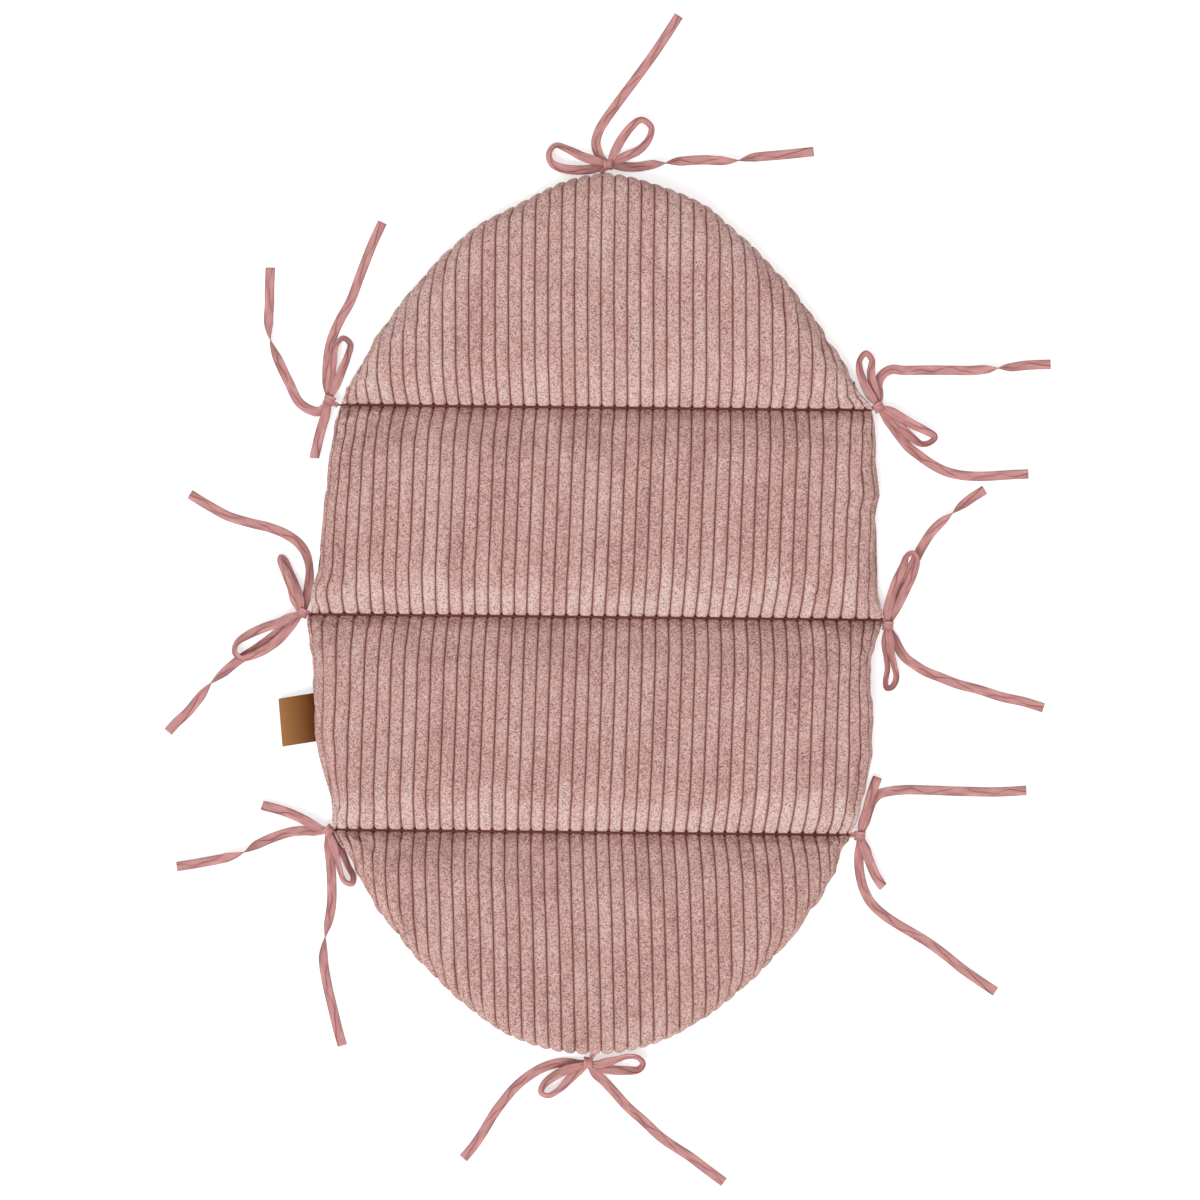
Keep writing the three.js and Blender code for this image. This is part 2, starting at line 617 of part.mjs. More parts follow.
// A flat tape along points of x, y, lift and turn. Its face lies flat where the turn is 0.
function flatTape(points, width, thickness, step) {
  const curve = new THREE.CatmullRomCurve3(
    points.map(([x, y, lift]) => new THREE.Vector3(x, y, lift)),
    false,
    "centripetal",
  );
  const spans = points.length - 1;
  const places = [];
  for (let i = 0; i < spans; i++) {
    const [from, to] = [points[i], points[i + 1]];
    const length = Math.hypot(to[0] - from[0], to[1] - from[1], to[2] - from[2]);
    const turned = to[3] - from[3];
    const steps = Math.max(1, Math.round(length / step), Math.round(Math.abs(turned) / turnPerStep));
    for (let j = i ? 1 : 0; j <= steps; j++) {
      const place = curve.getPoint((i + j / steps) / spans);
      const turn = THREE.MathUtils.degToRad(from[3] + turned * (j / steps));
      const rest = (Math.abs(Math.sin(turn)) * width + Math.abs(Math.cos(turn)) * thickness) / 2;
      place.z += rest + tapeFloorGap;
      places.push({ place, turn });
    }
  }
  const rings = [];
  let side = null;
  places.forEach(({ place, turn }, i) => {
    const before = places[Math.max(i - 1, 0)].place;
    const after = places[Math.min(i + 1, places.length - 1)].place;
    const along = after.clone().sub(before).normalize();
    const level = new THREE.Vector3(-along.y, along.x, 0);
    const reach = level.length();
    if (side === null || reach > 0.5) {
      level.normalize();
      if (side !== null && level.dot(side) < 0) level.negate();
      side = level;
    }
    const flat = side.clone().addScaledVector(along, -side.dot(along)).normalize();
    const across = flat.applyAxisAngle(along, turn);
    const up = along.clone().cross(across);
    rings.push(
      [
        [-1, -1],
        [1, -1],
        [1, 1],
        [-1, 1],
      ].map(([a, b]) => {
        const corner = place.clone();
        corner.addScaledVector(across, (a * width) / 2);
        corner.addScaledVector(up, (b * thickness) / 2);
        return corner.toArray();
      }),
    );
  });
  const triangles = [
    [0, 2, 1],
    [0, 3, 2],
  ];
  // The upper face is split along the same diagonals as the lower one, so that a tape keeps its
  // thickness where it twists
  const upperFace = 2;
  for (let i = 0; i + 1 < rings.length; i++) {
    for (let j = 0; j < 4; j++) {
      const a = 4 * i + j;
      const b = 4 * i + ((j + 1) % 4);
      if (j === upperFace) triangles.push([a, b, a + 4], [b, b + 4, a + 4]);
      else triangles.push([a, b, b + 4], [a, b + 4, a + 4]);
    }
  }
  const last = 4 * (rings.length - 1);
  triangles.push([last, last + 1, last + 2], [last, last + 2, last + 3]);
  return geometryOf(rings.flat(), triangles);
}

// The point on a knot's side where a stretch of tape that goes to `next` leaves it.
function knotSide(knot, next) {
  const [dx, dy] = [next[0] - knot[0], next[1] - knot[1]];
  const reach = knotRadius + clearance;
  const distance = Math.hypot(dx, dy);
  return [knot[0] + (dx / distance) * reach, knot[1] + (dy / distance) * reach, next[2], next[3]];
}

// A knot with its root, the two sewn ends that run to the anchor on the pad's edge.
function knotBody(knot, outward) {
  const profile = [
    [0, 0],
    [knotRadius - knotChamfer, 0],
    [knotRadius, knotChamfer],
    [knotRadius, knotHeight - knotChamfer],
    [knotRadius - knotChamfer, knotHeight],
    [0, knotHeight],
  ].map(([radius, height]) => new THREE.Vector2(radius, height));
  const lump = new THREE.LatheGeometry(profile, knotSides);
  lump.rotateX(Math.PI / 2);
  lump.translate(knot[0], knot[1], clearance);
  const lift = seamHeight - tieRootThickness / 2;
  const root = flatTape(
    [
      [outward[0] * clearance, outward[1] * clearance, lift, 0],
      [outward[0] * tieRootStraight, outward[1] * tieRootStraight, lift, 0],
      [knot[0], knot[1], lift, 0],
    ],
    tieRootWidth,
    tieRootThickness,
    tieRootWidth,
  );
  return geometryOfSolid(solidOf(lump).add(solidOf(root)));
}

// Where each tie is sewn in, and which way is outward there
const anchors = {
  head_tie: { place: [0, headTipY], outward: [0, 1] },
  left_upper_tie: { place: [-headSeamHalfWidth, headSeamY], outward: [-1, 0] },
  right_upper_tie: { place: [headSeamHalfWidth, headSeamY], outward: [1, 0] },
  left_middle_tie: { place: [-middleSeamHalfWidth, middleSeamY], outward: [-1, 0] },
  right_middle_tie: { place: [middleSeamHalfWidth, middleSeamY], outward: [1, 0] },
  left_lower_tie: { place: [-footSeamHalfWidth, footSeamY], outward: [-1, 0] },
  right_lower_tie: { place: [footSeamHalfWidth, footSeamY], outward: [1, 0] },
  foot_tie: { place: [0, footTipY], outward: [0, -1] },
};

const lounger = new THREE.Group();

// The tab sticks out to the left, so the pad lies half its reach to the right of the origin
const pad = new THREE.Group();
pad.position.x = tabReach / 2;
lounger.add(pad);

function addTo(group, name, geometry, material) {
  const mesh = new THREE.Mesh(geometry, material);
  mesh.name = name;
  group.add(mesh);
  return mesh;
}

for (const panel of panels) {
  addTo(pad, `${panel.name}_corduroy_cover`, topCover(panel), corduroy);
  addTo(pad, `${panel.name}_back_cover`, backCover(panel), backCloth);
  addTo(pad, `${panel.name}_wadding`, waddingCore(panel), wadding);
}

for (const [name, halfWidth, y] of [
  ["head_seam", headSeamHalfWidth, headSeamY],
  ["middle_seam", middleSeamHalfWidth, middleSeamY],
  ["foot_seam", footSeamHalfWidth, footSeamY],
]) {
  addTo(pad, name, crossSeam(halfWidth), seamCloth).position.set(0, y, seamHeight);
}

// The tab lies against the edge of the lower panel, along the slant of that edge
const tab = addTo(pad, "leather_tab", leatherTab(), leather);
tab.position.set(-tabRoot - clearance, middleSeamY - tabFromMiddleSeam, seamHeight);
tab.rotation.set(0, -Math.asin(tabDroop / tabRun), tabSlant, "ZYX");

for (const [name, { place, outward }] of Object.entries(anchors)) {
  const { knot, ...stretches } = tieRoutes[name];
  const tie = new THREE.Group();
  tie.position.set(place[0], place[1], 0);
  pad.add(tie);
  addTo(tie, `${name}_knot`, knotBody(knot, outward), tape);
  for (const [stretch, points] of Object.entries(stretches)) {
    const route = [knotSide(knot, points[0]), ...points];
    if (stretch.startsWith("loop")) route.push(knotSide(knot, points.at(-1)));
    addTo(tie, `${name}_${stretch}`, flatTape(route, tapeWidth, tapeThickness, tapeStep), tape);
  }
}

export default lounger;
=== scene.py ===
import json
import math

import bpy
import numpy as np
from mathutils import Matrix, Vector, noise
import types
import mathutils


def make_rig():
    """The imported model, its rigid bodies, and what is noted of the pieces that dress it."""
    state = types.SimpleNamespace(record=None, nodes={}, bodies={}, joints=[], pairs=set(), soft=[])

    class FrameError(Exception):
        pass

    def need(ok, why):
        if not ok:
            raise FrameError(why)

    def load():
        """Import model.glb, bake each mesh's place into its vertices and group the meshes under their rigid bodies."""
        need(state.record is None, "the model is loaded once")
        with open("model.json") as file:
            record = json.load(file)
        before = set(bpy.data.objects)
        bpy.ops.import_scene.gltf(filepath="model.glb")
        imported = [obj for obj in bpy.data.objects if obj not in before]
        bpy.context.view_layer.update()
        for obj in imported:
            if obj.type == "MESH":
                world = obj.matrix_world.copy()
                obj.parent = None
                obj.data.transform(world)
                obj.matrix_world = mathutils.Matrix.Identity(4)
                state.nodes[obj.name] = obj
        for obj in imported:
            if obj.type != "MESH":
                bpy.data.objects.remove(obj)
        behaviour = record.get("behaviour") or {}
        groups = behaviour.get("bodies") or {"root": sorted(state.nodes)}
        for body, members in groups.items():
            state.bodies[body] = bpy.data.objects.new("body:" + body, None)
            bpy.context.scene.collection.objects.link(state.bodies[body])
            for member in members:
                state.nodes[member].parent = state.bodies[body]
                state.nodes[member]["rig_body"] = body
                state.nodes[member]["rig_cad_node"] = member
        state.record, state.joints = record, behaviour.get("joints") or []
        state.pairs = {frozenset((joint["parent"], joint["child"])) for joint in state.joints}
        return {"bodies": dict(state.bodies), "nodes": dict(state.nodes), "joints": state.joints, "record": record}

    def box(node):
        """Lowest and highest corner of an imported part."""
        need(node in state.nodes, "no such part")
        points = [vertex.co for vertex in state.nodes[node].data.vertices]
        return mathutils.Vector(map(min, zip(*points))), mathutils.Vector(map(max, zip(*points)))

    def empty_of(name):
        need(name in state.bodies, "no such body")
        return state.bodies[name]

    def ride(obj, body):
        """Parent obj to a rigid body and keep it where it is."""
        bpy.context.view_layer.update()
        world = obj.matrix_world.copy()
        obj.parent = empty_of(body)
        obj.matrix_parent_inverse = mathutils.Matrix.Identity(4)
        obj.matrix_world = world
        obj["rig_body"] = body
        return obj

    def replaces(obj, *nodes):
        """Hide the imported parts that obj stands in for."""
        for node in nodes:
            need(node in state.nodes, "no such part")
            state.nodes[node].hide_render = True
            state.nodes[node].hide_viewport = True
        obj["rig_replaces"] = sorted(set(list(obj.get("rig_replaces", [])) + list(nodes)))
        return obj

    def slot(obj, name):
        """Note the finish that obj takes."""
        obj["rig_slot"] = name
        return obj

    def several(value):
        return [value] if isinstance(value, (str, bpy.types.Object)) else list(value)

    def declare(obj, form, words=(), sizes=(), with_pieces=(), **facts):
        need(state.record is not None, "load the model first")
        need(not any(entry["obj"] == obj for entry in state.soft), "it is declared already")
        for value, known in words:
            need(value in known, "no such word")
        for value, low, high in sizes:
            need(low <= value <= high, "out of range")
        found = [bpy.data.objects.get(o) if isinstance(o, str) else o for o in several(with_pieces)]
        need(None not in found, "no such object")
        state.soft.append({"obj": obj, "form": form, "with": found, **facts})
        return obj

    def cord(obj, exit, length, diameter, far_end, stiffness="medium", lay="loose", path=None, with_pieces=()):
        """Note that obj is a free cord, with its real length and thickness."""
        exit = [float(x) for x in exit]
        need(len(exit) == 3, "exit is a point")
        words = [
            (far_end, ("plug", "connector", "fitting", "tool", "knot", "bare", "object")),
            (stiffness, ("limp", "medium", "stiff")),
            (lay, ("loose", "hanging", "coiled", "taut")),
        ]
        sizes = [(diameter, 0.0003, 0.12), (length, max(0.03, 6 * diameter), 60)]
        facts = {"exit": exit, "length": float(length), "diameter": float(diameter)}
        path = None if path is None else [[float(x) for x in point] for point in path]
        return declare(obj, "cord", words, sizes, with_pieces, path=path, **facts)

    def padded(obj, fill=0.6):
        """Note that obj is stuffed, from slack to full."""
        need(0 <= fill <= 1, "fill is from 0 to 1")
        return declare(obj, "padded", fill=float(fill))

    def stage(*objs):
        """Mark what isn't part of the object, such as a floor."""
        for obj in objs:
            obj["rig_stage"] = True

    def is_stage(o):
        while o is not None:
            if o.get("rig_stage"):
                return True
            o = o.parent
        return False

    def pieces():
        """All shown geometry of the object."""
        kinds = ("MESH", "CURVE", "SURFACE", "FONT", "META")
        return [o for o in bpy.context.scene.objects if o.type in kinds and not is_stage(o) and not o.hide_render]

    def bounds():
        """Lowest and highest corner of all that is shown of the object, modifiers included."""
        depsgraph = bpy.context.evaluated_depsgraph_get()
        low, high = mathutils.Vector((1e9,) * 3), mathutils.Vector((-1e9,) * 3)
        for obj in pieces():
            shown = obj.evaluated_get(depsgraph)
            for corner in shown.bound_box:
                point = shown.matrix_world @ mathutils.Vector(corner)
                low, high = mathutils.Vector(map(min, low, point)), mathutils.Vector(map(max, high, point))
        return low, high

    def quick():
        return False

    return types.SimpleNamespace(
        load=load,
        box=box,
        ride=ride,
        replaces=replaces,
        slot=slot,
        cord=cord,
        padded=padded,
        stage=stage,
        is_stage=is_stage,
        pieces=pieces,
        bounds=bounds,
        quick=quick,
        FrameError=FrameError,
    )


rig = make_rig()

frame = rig.load()
cad_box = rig.bounds()

MM = 0.001


def middle(node):
    low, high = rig.box(node)
    return [(a + b) / 2 for a, b in zip(low, high)]


def half_width(node):
    low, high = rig.box(node)
    return (high[0] - low[0]) / 2


# Places and sizes that the frame gives
PAD_X, MIDDLE_SEAM_Y, SEAM_Z = middle("middle_seam")
HEAD_SEAM_Y = middle("head_seam")[1]
FOOT_SEAM_Y = middle("foot_seam")[1]
HEAD_SEAM_HALF = half_width("head_seam")
MIDDLE_SEAM_HALF = half_width("middle_seam")
FOOT_SEAM_HALF = half_width("foot_seam")
HEAD_TIP_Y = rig.box("head_corduroy_cover")[1][1]
FOOT_TIP_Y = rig.box("foot_corduroy_cover")[0][1]
CROWN_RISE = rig.box("upper_corduroy_cover")[1][2] - SEAM_Z

# The points of each tie, in millimetres from its anchor on the pad: the knot, then the loops and
# tails of its two legs. A point is x, y, the lift of the tape and the turn of its face in degrees;
# where the lift or the turn is left out, it is 0.
TIE_ROUTES = {
    "head_tie": {
        "knot": (5, 7),
        "loop_a": [
            (-4.5, 9.5, 6.5), (-17, 13.5, 6, 20), (-29, 19.5, 3.5, 60), (-39.5, 23, 2, 90),
            (-45, 17, 2, 90), (-43.5, 8.5, 2, 80), (-34, 3.5, 2.5, 40), (-18.5, 2, 4, 10),
            (-6, 3.5, 4),
        ],
        "tail_a": [
            (-2, 14.5, 2), (-5.5, 24, 1), (-3.5, 34.5), (3, 46), (15.5, 63.5), (30.5, 84),
            (45, 104.5), (56, 121.5), (64, 134.5),
        ],
        "loop_b": [
            (10, 16.5, 6.5), (16.5, 28.5, 6, 30), (25, 39.5, 4, 60), (33.5, 45, 2, 90),
            (41.5, 39, 2, 90), (39.5, 28.5, 2, 70), (32, 20, 2.5, 40), (22, 15, 4, 10),
            (14.5, 11.5, 4),
        ],
        "tail_b": [
            (17, 5.5, 2), (30.5, 5.5), (42.5, 7.5, 0, 20), (53.5, 8.5, 0, 90), (66, 10.5, 0, 165),
            (85, 12, 0, 180), (100, 11.5, 0, 195), (115.5, 11.5, 0, 270), (130, 14.5, 0, 345),
            (153, 17, 0, 360), (180, 20, 0, 360),
        ],
    },
    "left_upper_tie": {
        "knot": (-6.5, 4),
        "loop_a": [
            (-1.5, 16, 6.5), (3.5, 28, 6, 50), (9, 41.5, 4, 80), (11, 52, 2, 90), (5, 57, 2, 90),
            (-1, 51, 2, 90), (-3.5, 37.5, 3, 60), (-6.5, 18, 4),
        ],
        "tail_a": [
            (-8.5, 17.5, 2), (-8.5, 37.5), (-5.5, 55), (2, 73), (10.5, 88.5), (17, 106.5),
            (22, 120), (28.5, 137), (37, 156),
        ],
        "loop_b": [
            (-9, -7, 6.5), (-13.5, -21.5, 6), (-16.5, -34, 4.5), (-18.5, -43.5, 4),
            (-18.5, -45, 2), (-18.5, -43.5), (-16.5, -34, 0.5), (-13.5, -21.5, 2), (-9, -7, 4),
        ],
        "tail_b": [
            (-15, -5.5, 2), (-24.5, -3.5), (-33, 3), (-40.5, 17.5), (-50, 37, 0, 10),
            (-57, 54.5, 0, 90), (-59, 70, 0, 170), (-58.5, 86, 0, 180), (-58.5, 99.5, 0, 180),
            (-58, 116.5, 0, 180),
        ],
    },
    "right_upper_tie": {
        "knot": (14, 3),
        "loop_a": [
            (7, 12, 6.5), (1, 23, 6, 30), (-2.5, 33.5, 4, 60), (-2.5, 42.5, 2, 90),
            (2.5, 48.5, 2, 90), (7.5, 43.5, 2, 90), (7, 32.5, 3, 60), (9.5, 20.5, 4, 10),
            (12, 13, 4),
        ],
        "tail_a": [
            (14.5, 12.5, 2), (13, 21, 1), (16.5, 30), (24, 35), (36, 34.5), (55.5, 35), (74, 35),
            (92.5, 35), (105.5, 36, 0, 30), (115, 37, 0, 90), (125, 38, 0, 150),
            (140.5, 40, 0, 180), (160, 41, 0, 180),
        ],
        "loop_b": [
            (22.5, 0.5, 6.5), (31, -4.5, 6, 10), (42, -11, 4, 30), (54, -17, 2.5, 60),
            (62, -22, 2, 90), (57.5, -27, 2, 90), (50, -28, 2, 80), (42.5, -23, 2.5, 40),
            (33.5, -14.5, 3.5, 10), (23.5, -5.5, 4),
        ],
        "tail_b": [
            (20, -5.5, 2), (25, -12, 1), (31, -20), (39, -30), (48.5, -37.5), (61, -46),
            (71.5, -51), (83.5, -54), (98.5, -55), (112.5, -54.5), (125, -53.5), (142, -52.5),
        ],
    },
    "left_middle_tie": {
        "knot": (-12, 1),
        "loop_a": [
            (-14, 11, 6.5, 10), (-17.5, 24, 6, 70), (-22.5, 36.5, 4, 90), (-27.5, 46.5, 2, 90),
            (-31, 48.5, 2, 90), (-31.5, 45, 2, 90), (-27.5, 34.5, 3, 90), (-22, 22, 4, 70),
            (-18, 10, 4, 10),
        ],
        "tail_a": [
            (-9, 12, 2), (-7, 25.5, 0, 20), (-6.5, 39, 0, 40), (-10, 52, 0, 20), (-17, 61),
            (-27.5, 68), (-42, 73.5), (-57, 77), (-76, 82.5), (-90.5, 90), (-109, 101),
        ],
        "loop_b": [
            (-20.5, -2, 6.5), (-30, -7, 6, 10), (-44.5, -12, 4, 20), (-58.5, -18.5, 2.5, 50),
            (-68, -26, 2, 90), (-69, -33.5, 2, 90), (-63.5, -38, 2, 90), (-54.5, -36, 2.5, 60),
            (-42.5, -30, 3, 30), (-31.5, -21.5, 4, 10), (-20.5, -8.5, 4),
        ],
        "tail_b": [
            (-19.5, -7, 2), (-29, -13.5, 1), (-41, -22.5), (-52.5, -31), (-65.5, -39.5),
            (-78, -50, 0, 20), (-89.5, -60, 0, 90), (-98.5, -71.5, 0, 165), (-109, -84.5, 0, 180),
            (-118.5, -93.5, 0, 180), (-125.5, -101.5, 0, 180),
        ],
    },
    "right_middle_tie": {
        "knot": (8, -5),
        "loop_a": [
            (7, 5, 6.5), (9.5, 16, 6, 10), (14.5, 31.5, 4, 20), (20.5, 45, 2.5, 50),
            (23.5, 54.5, 2, 90), (28.5, 57, 2, 90), (32, 52, 2, 90), (29.5, 41, 2.5, 50),
            (23, 26.5, 3.5, 20), (16.5, 13, 4.5, 10), (12, 4.5, 4),
        ],
        "tail_a": [
            (10.5, 4.5, 2), (15.5, 16), (22, 31.5), (29.5, 48), (37, 63), (45.5, 76),
            (54, 84.5, 0, 30), (62.5, 91.5, 0, 90), (70.5, 98.5, 0, 150), (80, 105.5, 0, 180),
            (89.5, 111.5, 0, 180),
        ],
        "loop_b": [
            (10, -16, 6.5, 20), (11, -27, 5, 80), (13.5, -38, 3, 90), (15.5, -49.5, 2, 90),
            (12, -57, 2, 90), (7.5, -58, 2, 90), (6.5, -52, 2, 90), (8, -41, 2.5, 90),
            (7, -30, 3.5, 80), (6.5, -17, 4, 20),
        ],
        "tail_b": [
            (13, -14.5, 2), (17.5, -23.5, 0.5), (23.5, -32), (31.5, -38), (40.5, -43.5), (52, -48),
            (68, -54), (86, -58.5), (105.5, -64.5), (124.5, -68.5), (141.5, -73.5),
        ],
    },
    "left_lower_tie": {
        "knot": (-9.5, -1),
        "loop_a": [
            (-19, 2, 6.5), (-27.5, 6.5, 6.5), (-38, 11.5, 5), (-50.5, 16, 4), (-64.5, 19.5, 4),
            (-66, 20, 2), (-64.5, 19.5), (-50.5, 16, 0.5), (-38, 11.5, 2), (-27.5, 6.5, 3.5),
            (-19, 1.5, 4),
        ],
        "tail_a": [
            (-19, -2, 2), (-28.5, -1.5, 1), (-40.5, -2.5), (-54, -6.5), (-70, -13.5, 0, 20),
            (-81, -20, 0, 90), (-96, -25, 0, 165), (-112.5, -28.5, 0, 180),
            (-128.5, -31.5, 0, 180), (-138.5, -33, 0, 180),
        ],
        "loop_b": [
            (-5.5, -11.5, 6.5, 20), (-2, -23, 5, 80), (1, -36, 3, 90), (5, -44.5, 2, 90),
            (11, -46, 2, 90), (12, -40, 2, 90), (7.5, -31, 2.5, 90), (3, -20.5, 3.5, 80),
            (-2, -11.5, 4, 20),
        ],
        "tail_b": [
            (-9.5, -11.5, 2), (-8, -25), (-6.5, -44.5), (-6.5, -64), (-9, -80, 0, 30),
            (-11.5, -92, 0, 90), (-13, -108.5, 0, 160), (-10, -129.5, 0, 180),
            (-5, -150.5, 0, 180), (-0.5, -168.5, 0, 180), (4, -184, 0, 180),
        ],
    },
    "right_lower_tie": {
        "knot": (7.5, -1),
        "loop_a": [
            (9, 8.5, 6.5), (12.5, 18, 6.5), (16, 30.5, 5.5), (19.5, 42, 5), (21.5, 47.5, 5),
            (22, 49, 3), (21.5, 47.5, 1.5), (19.5, 42, 1.5), (16, 30.5, 2), (13, 18, 3),
            (10, 8.5, 4),
        ],
        "tail_a": [
            (11.5, 8.5, 2), (15, 20.5, 0.5), (18.5, 29), (24, 34.5), (32.5, 37), (45.5, 38.5),
            (62.5, 38.5), (80, 38), (102.5, 37.5), (124.5, 37.5), (149, 39),
        ],
        "loop_b": [
            (11, -10, 6.5), (15.5, -21, 6.5), (20.5, -33, 5), (26.5, -42.5, 4), (28, -44, 2),
            (26.5, -42.5, 0.5), (20.5, -33, 1), (15.5, -21, 3), (12, -10, 4),
        ],
        "tail_b": [
            (7.5, -11, 2), (7, -21.5), (8, -33), (11.5, -46.5), (17.5, -57.5), (26, -66),
            (36.5, -73.5), (51, -82), (65.5, -90.5), (81, -101.5), (95.5, -113), (110, -123),
            (124.5, -132.5),
        ],
    },
    "foot_tie": {
        "knot": (-4, -7),
        "loop_a": [
            (-12.5, -10.5, 6.5), (-23, -13.5, 6, 10), (-34, -19.5, 4, 40), (-42.5, -27, 2.5, 80),
            (-44, -33, 2, 90), (-38, -35.5, 2, 90), (-29.5, -31, 2, 80), (-22, -23.5, 3, 40),
            (-15, -16.5, 4, 10), (-10, -13, 4),
        ],
        "tail_a": [
            (-13.5, -8, 2), (-26.5, -7.5), (-40, -11), (-53.5, -18.5), (-66, -29), (-76, -41),
            (-84.5, -53), (-93, -67.5), (-101, -79.5), (-109.5, -90),
        ],
        "loop_b": [
            (4.5, -8, 6.5), (13, -6, 6, 30), (21.5, -3.5, 4, 80), (29.5, -1.5, 2.5, 90),
            (38, -2.5, 2, 90), (42.5, -7.5, 2, 90), (39, -12.5, 2, 80), (28, -13.5, 2.5, 40),
            (16.5, -13, 4, 10), (6, -11.5, 4),
        ],
        "tail_b": [
            (1, -15.5, 2), (9.5, -23, 0.5), (19, -33), (30, -45), (44, -57), (57.5, -69.5),
            (72, -79.5), (82.5, -86), (96, -96), (112.5, -108),
        ],
    },
}

# Each tie: its body and its anchor on the pad's edge
TIE_PLACES = {
    "head_tie": ("head_panel", (0, HEAD_TIP_Y)),
    "left_upper_tie": ("upper_panel", (-HEAD_SEAM_HALF, HEAD_SEAM_Y)),
    "right_upper_tie": ("upper_panel", (HEAD_SEAM_HALF, HEAD_SEAM_Y)),
    "left_middle_tie": ("upper_panel", (-MIDDLE_SEAM_HALF, MIDDLE_SEAM_Y)),
    "right_middle_tie": ("upper_panel", (MIDDLE_SEAM_HALF, MIDDLE_SEAM_Y)),
    "left_lower_tie": ("lower_panel", (-FOOT_SEAM_HALF, FOOT_SEAM_Y)),
    "right_lower_tie": ("lower_panel", (FOOT_SEAM_HALF, FOOT_SEAM_Y)),
    "foot_tie": ("foot_panel", (0, FOOT_TIP_Y)),
}

# Helpers

SHARP_ANGLE = math.radians(68)


def select_only(piece):
    bpy.ops.object.select_all(action="DESELECT")
    piece.select_set(True)
    bpy.context.view_layer.objects.active = piece


def apply_modifiers(piece):
    select_only(piece)
    for modifier in list(piece.modifiers):
        bpy.ops.object.modifier_apply(modifier=modifier.name)


def apply_place(piece):
    select_only(piece)
    bpy.ops.object.transform_apply(location=True, rotation=True, scale=True)


def added(name, scale=(1, 1, 1)):
    """The primitive just added, with its name and its own size."""
    piece = bpy.context.object
    piece.name = name
    piece.scale = scale
    apply_place(piece)
    return piece


def cut_ring(place, normal):
    """Cuts a ring into the piece in edit mode and leaves the ring selected."""
    bpy.ops.mesh.select_all(action="SELECT")
    bpy.ops.mesh.bisect(plane_co=place, plane_no=normal)


def round_off(piece):
    modifier = piece.modifiers.new("round", "SUBSURF")
    modifier.levels = modifier.render_levels = 2
    apply_modifiers(piece)


def shade_smooth(piece):
    select_only(piece)
    bpy.ops.object.shade_smooth()


def shade_by_angle(piece):
    select_only(piece)
    bpy.ops.object.shade_smooth_by_angle(angle=SHARP_ANGLE)


def point_normals_out(piece):
    select_only(piece)
    bpy.ops.object.mode_set(mode="EDIT")
    bpy.ops.mesh.select_all(action="SELECT")
    bpy.ops.mesh.normals_make_consistent(inside=False)
    bpy.ops.object.mode_set(mode="OBJECT")


def set_attribute(piece, name, values):
    attribute = piece.data.attributes.new(name, "FLOAT", "POINT")
    attribute.data.foreach_set("value", np.asarray(values, np.float32).ravel())


def coordinates(piece):
    co = np.zeros(len(piece.data.vertices) * 3)
    piece.data.vertices.foreach_get("co", co)
    return co.reshape(-1, 3)


def mesh_piece(name, points, faces):
    mesh = bpy.data.meshes.new(name)
    mesh.from_pydata([tuple(p) for p in points], [], [tuple(f) for f in faces])
    mesh.update()
    piece = bpy.data.objects.new(name, mesh)
    bpy.context.scene.collection.objects.link(piece)
    return piece


def smooth_step(value, low=0.0, high=1.0):
    t = np.clip((np.asarray(value, float) - low) / (high - low), 0, 1)
    return t * t * (3 - 2 * t)


def shoulder(distance, width, roundness):
    """A rounded rise from 0 to 1 over a width."""
    left = 1 - np.clip(distance / width, 0, 1)
    return (1 - left**roundness) ** (1 / roundness)


# Materials


def add_node(tree, kind, inputs=None, **settings):
    """A new shader node with its settings, and with its inputs set or linked."""
    made = tree.nodes.new(kind)
    for setting, value in settings.items():
        setattr(made, setting, value)
    for socket, value in (inputs or {}).items():
        if isinstance(value, bpy.types.NodeSocket):
            tree.links.new(value, made.inputs[socket])
        else:
            made.inputs[socket].default_value = value
    return made


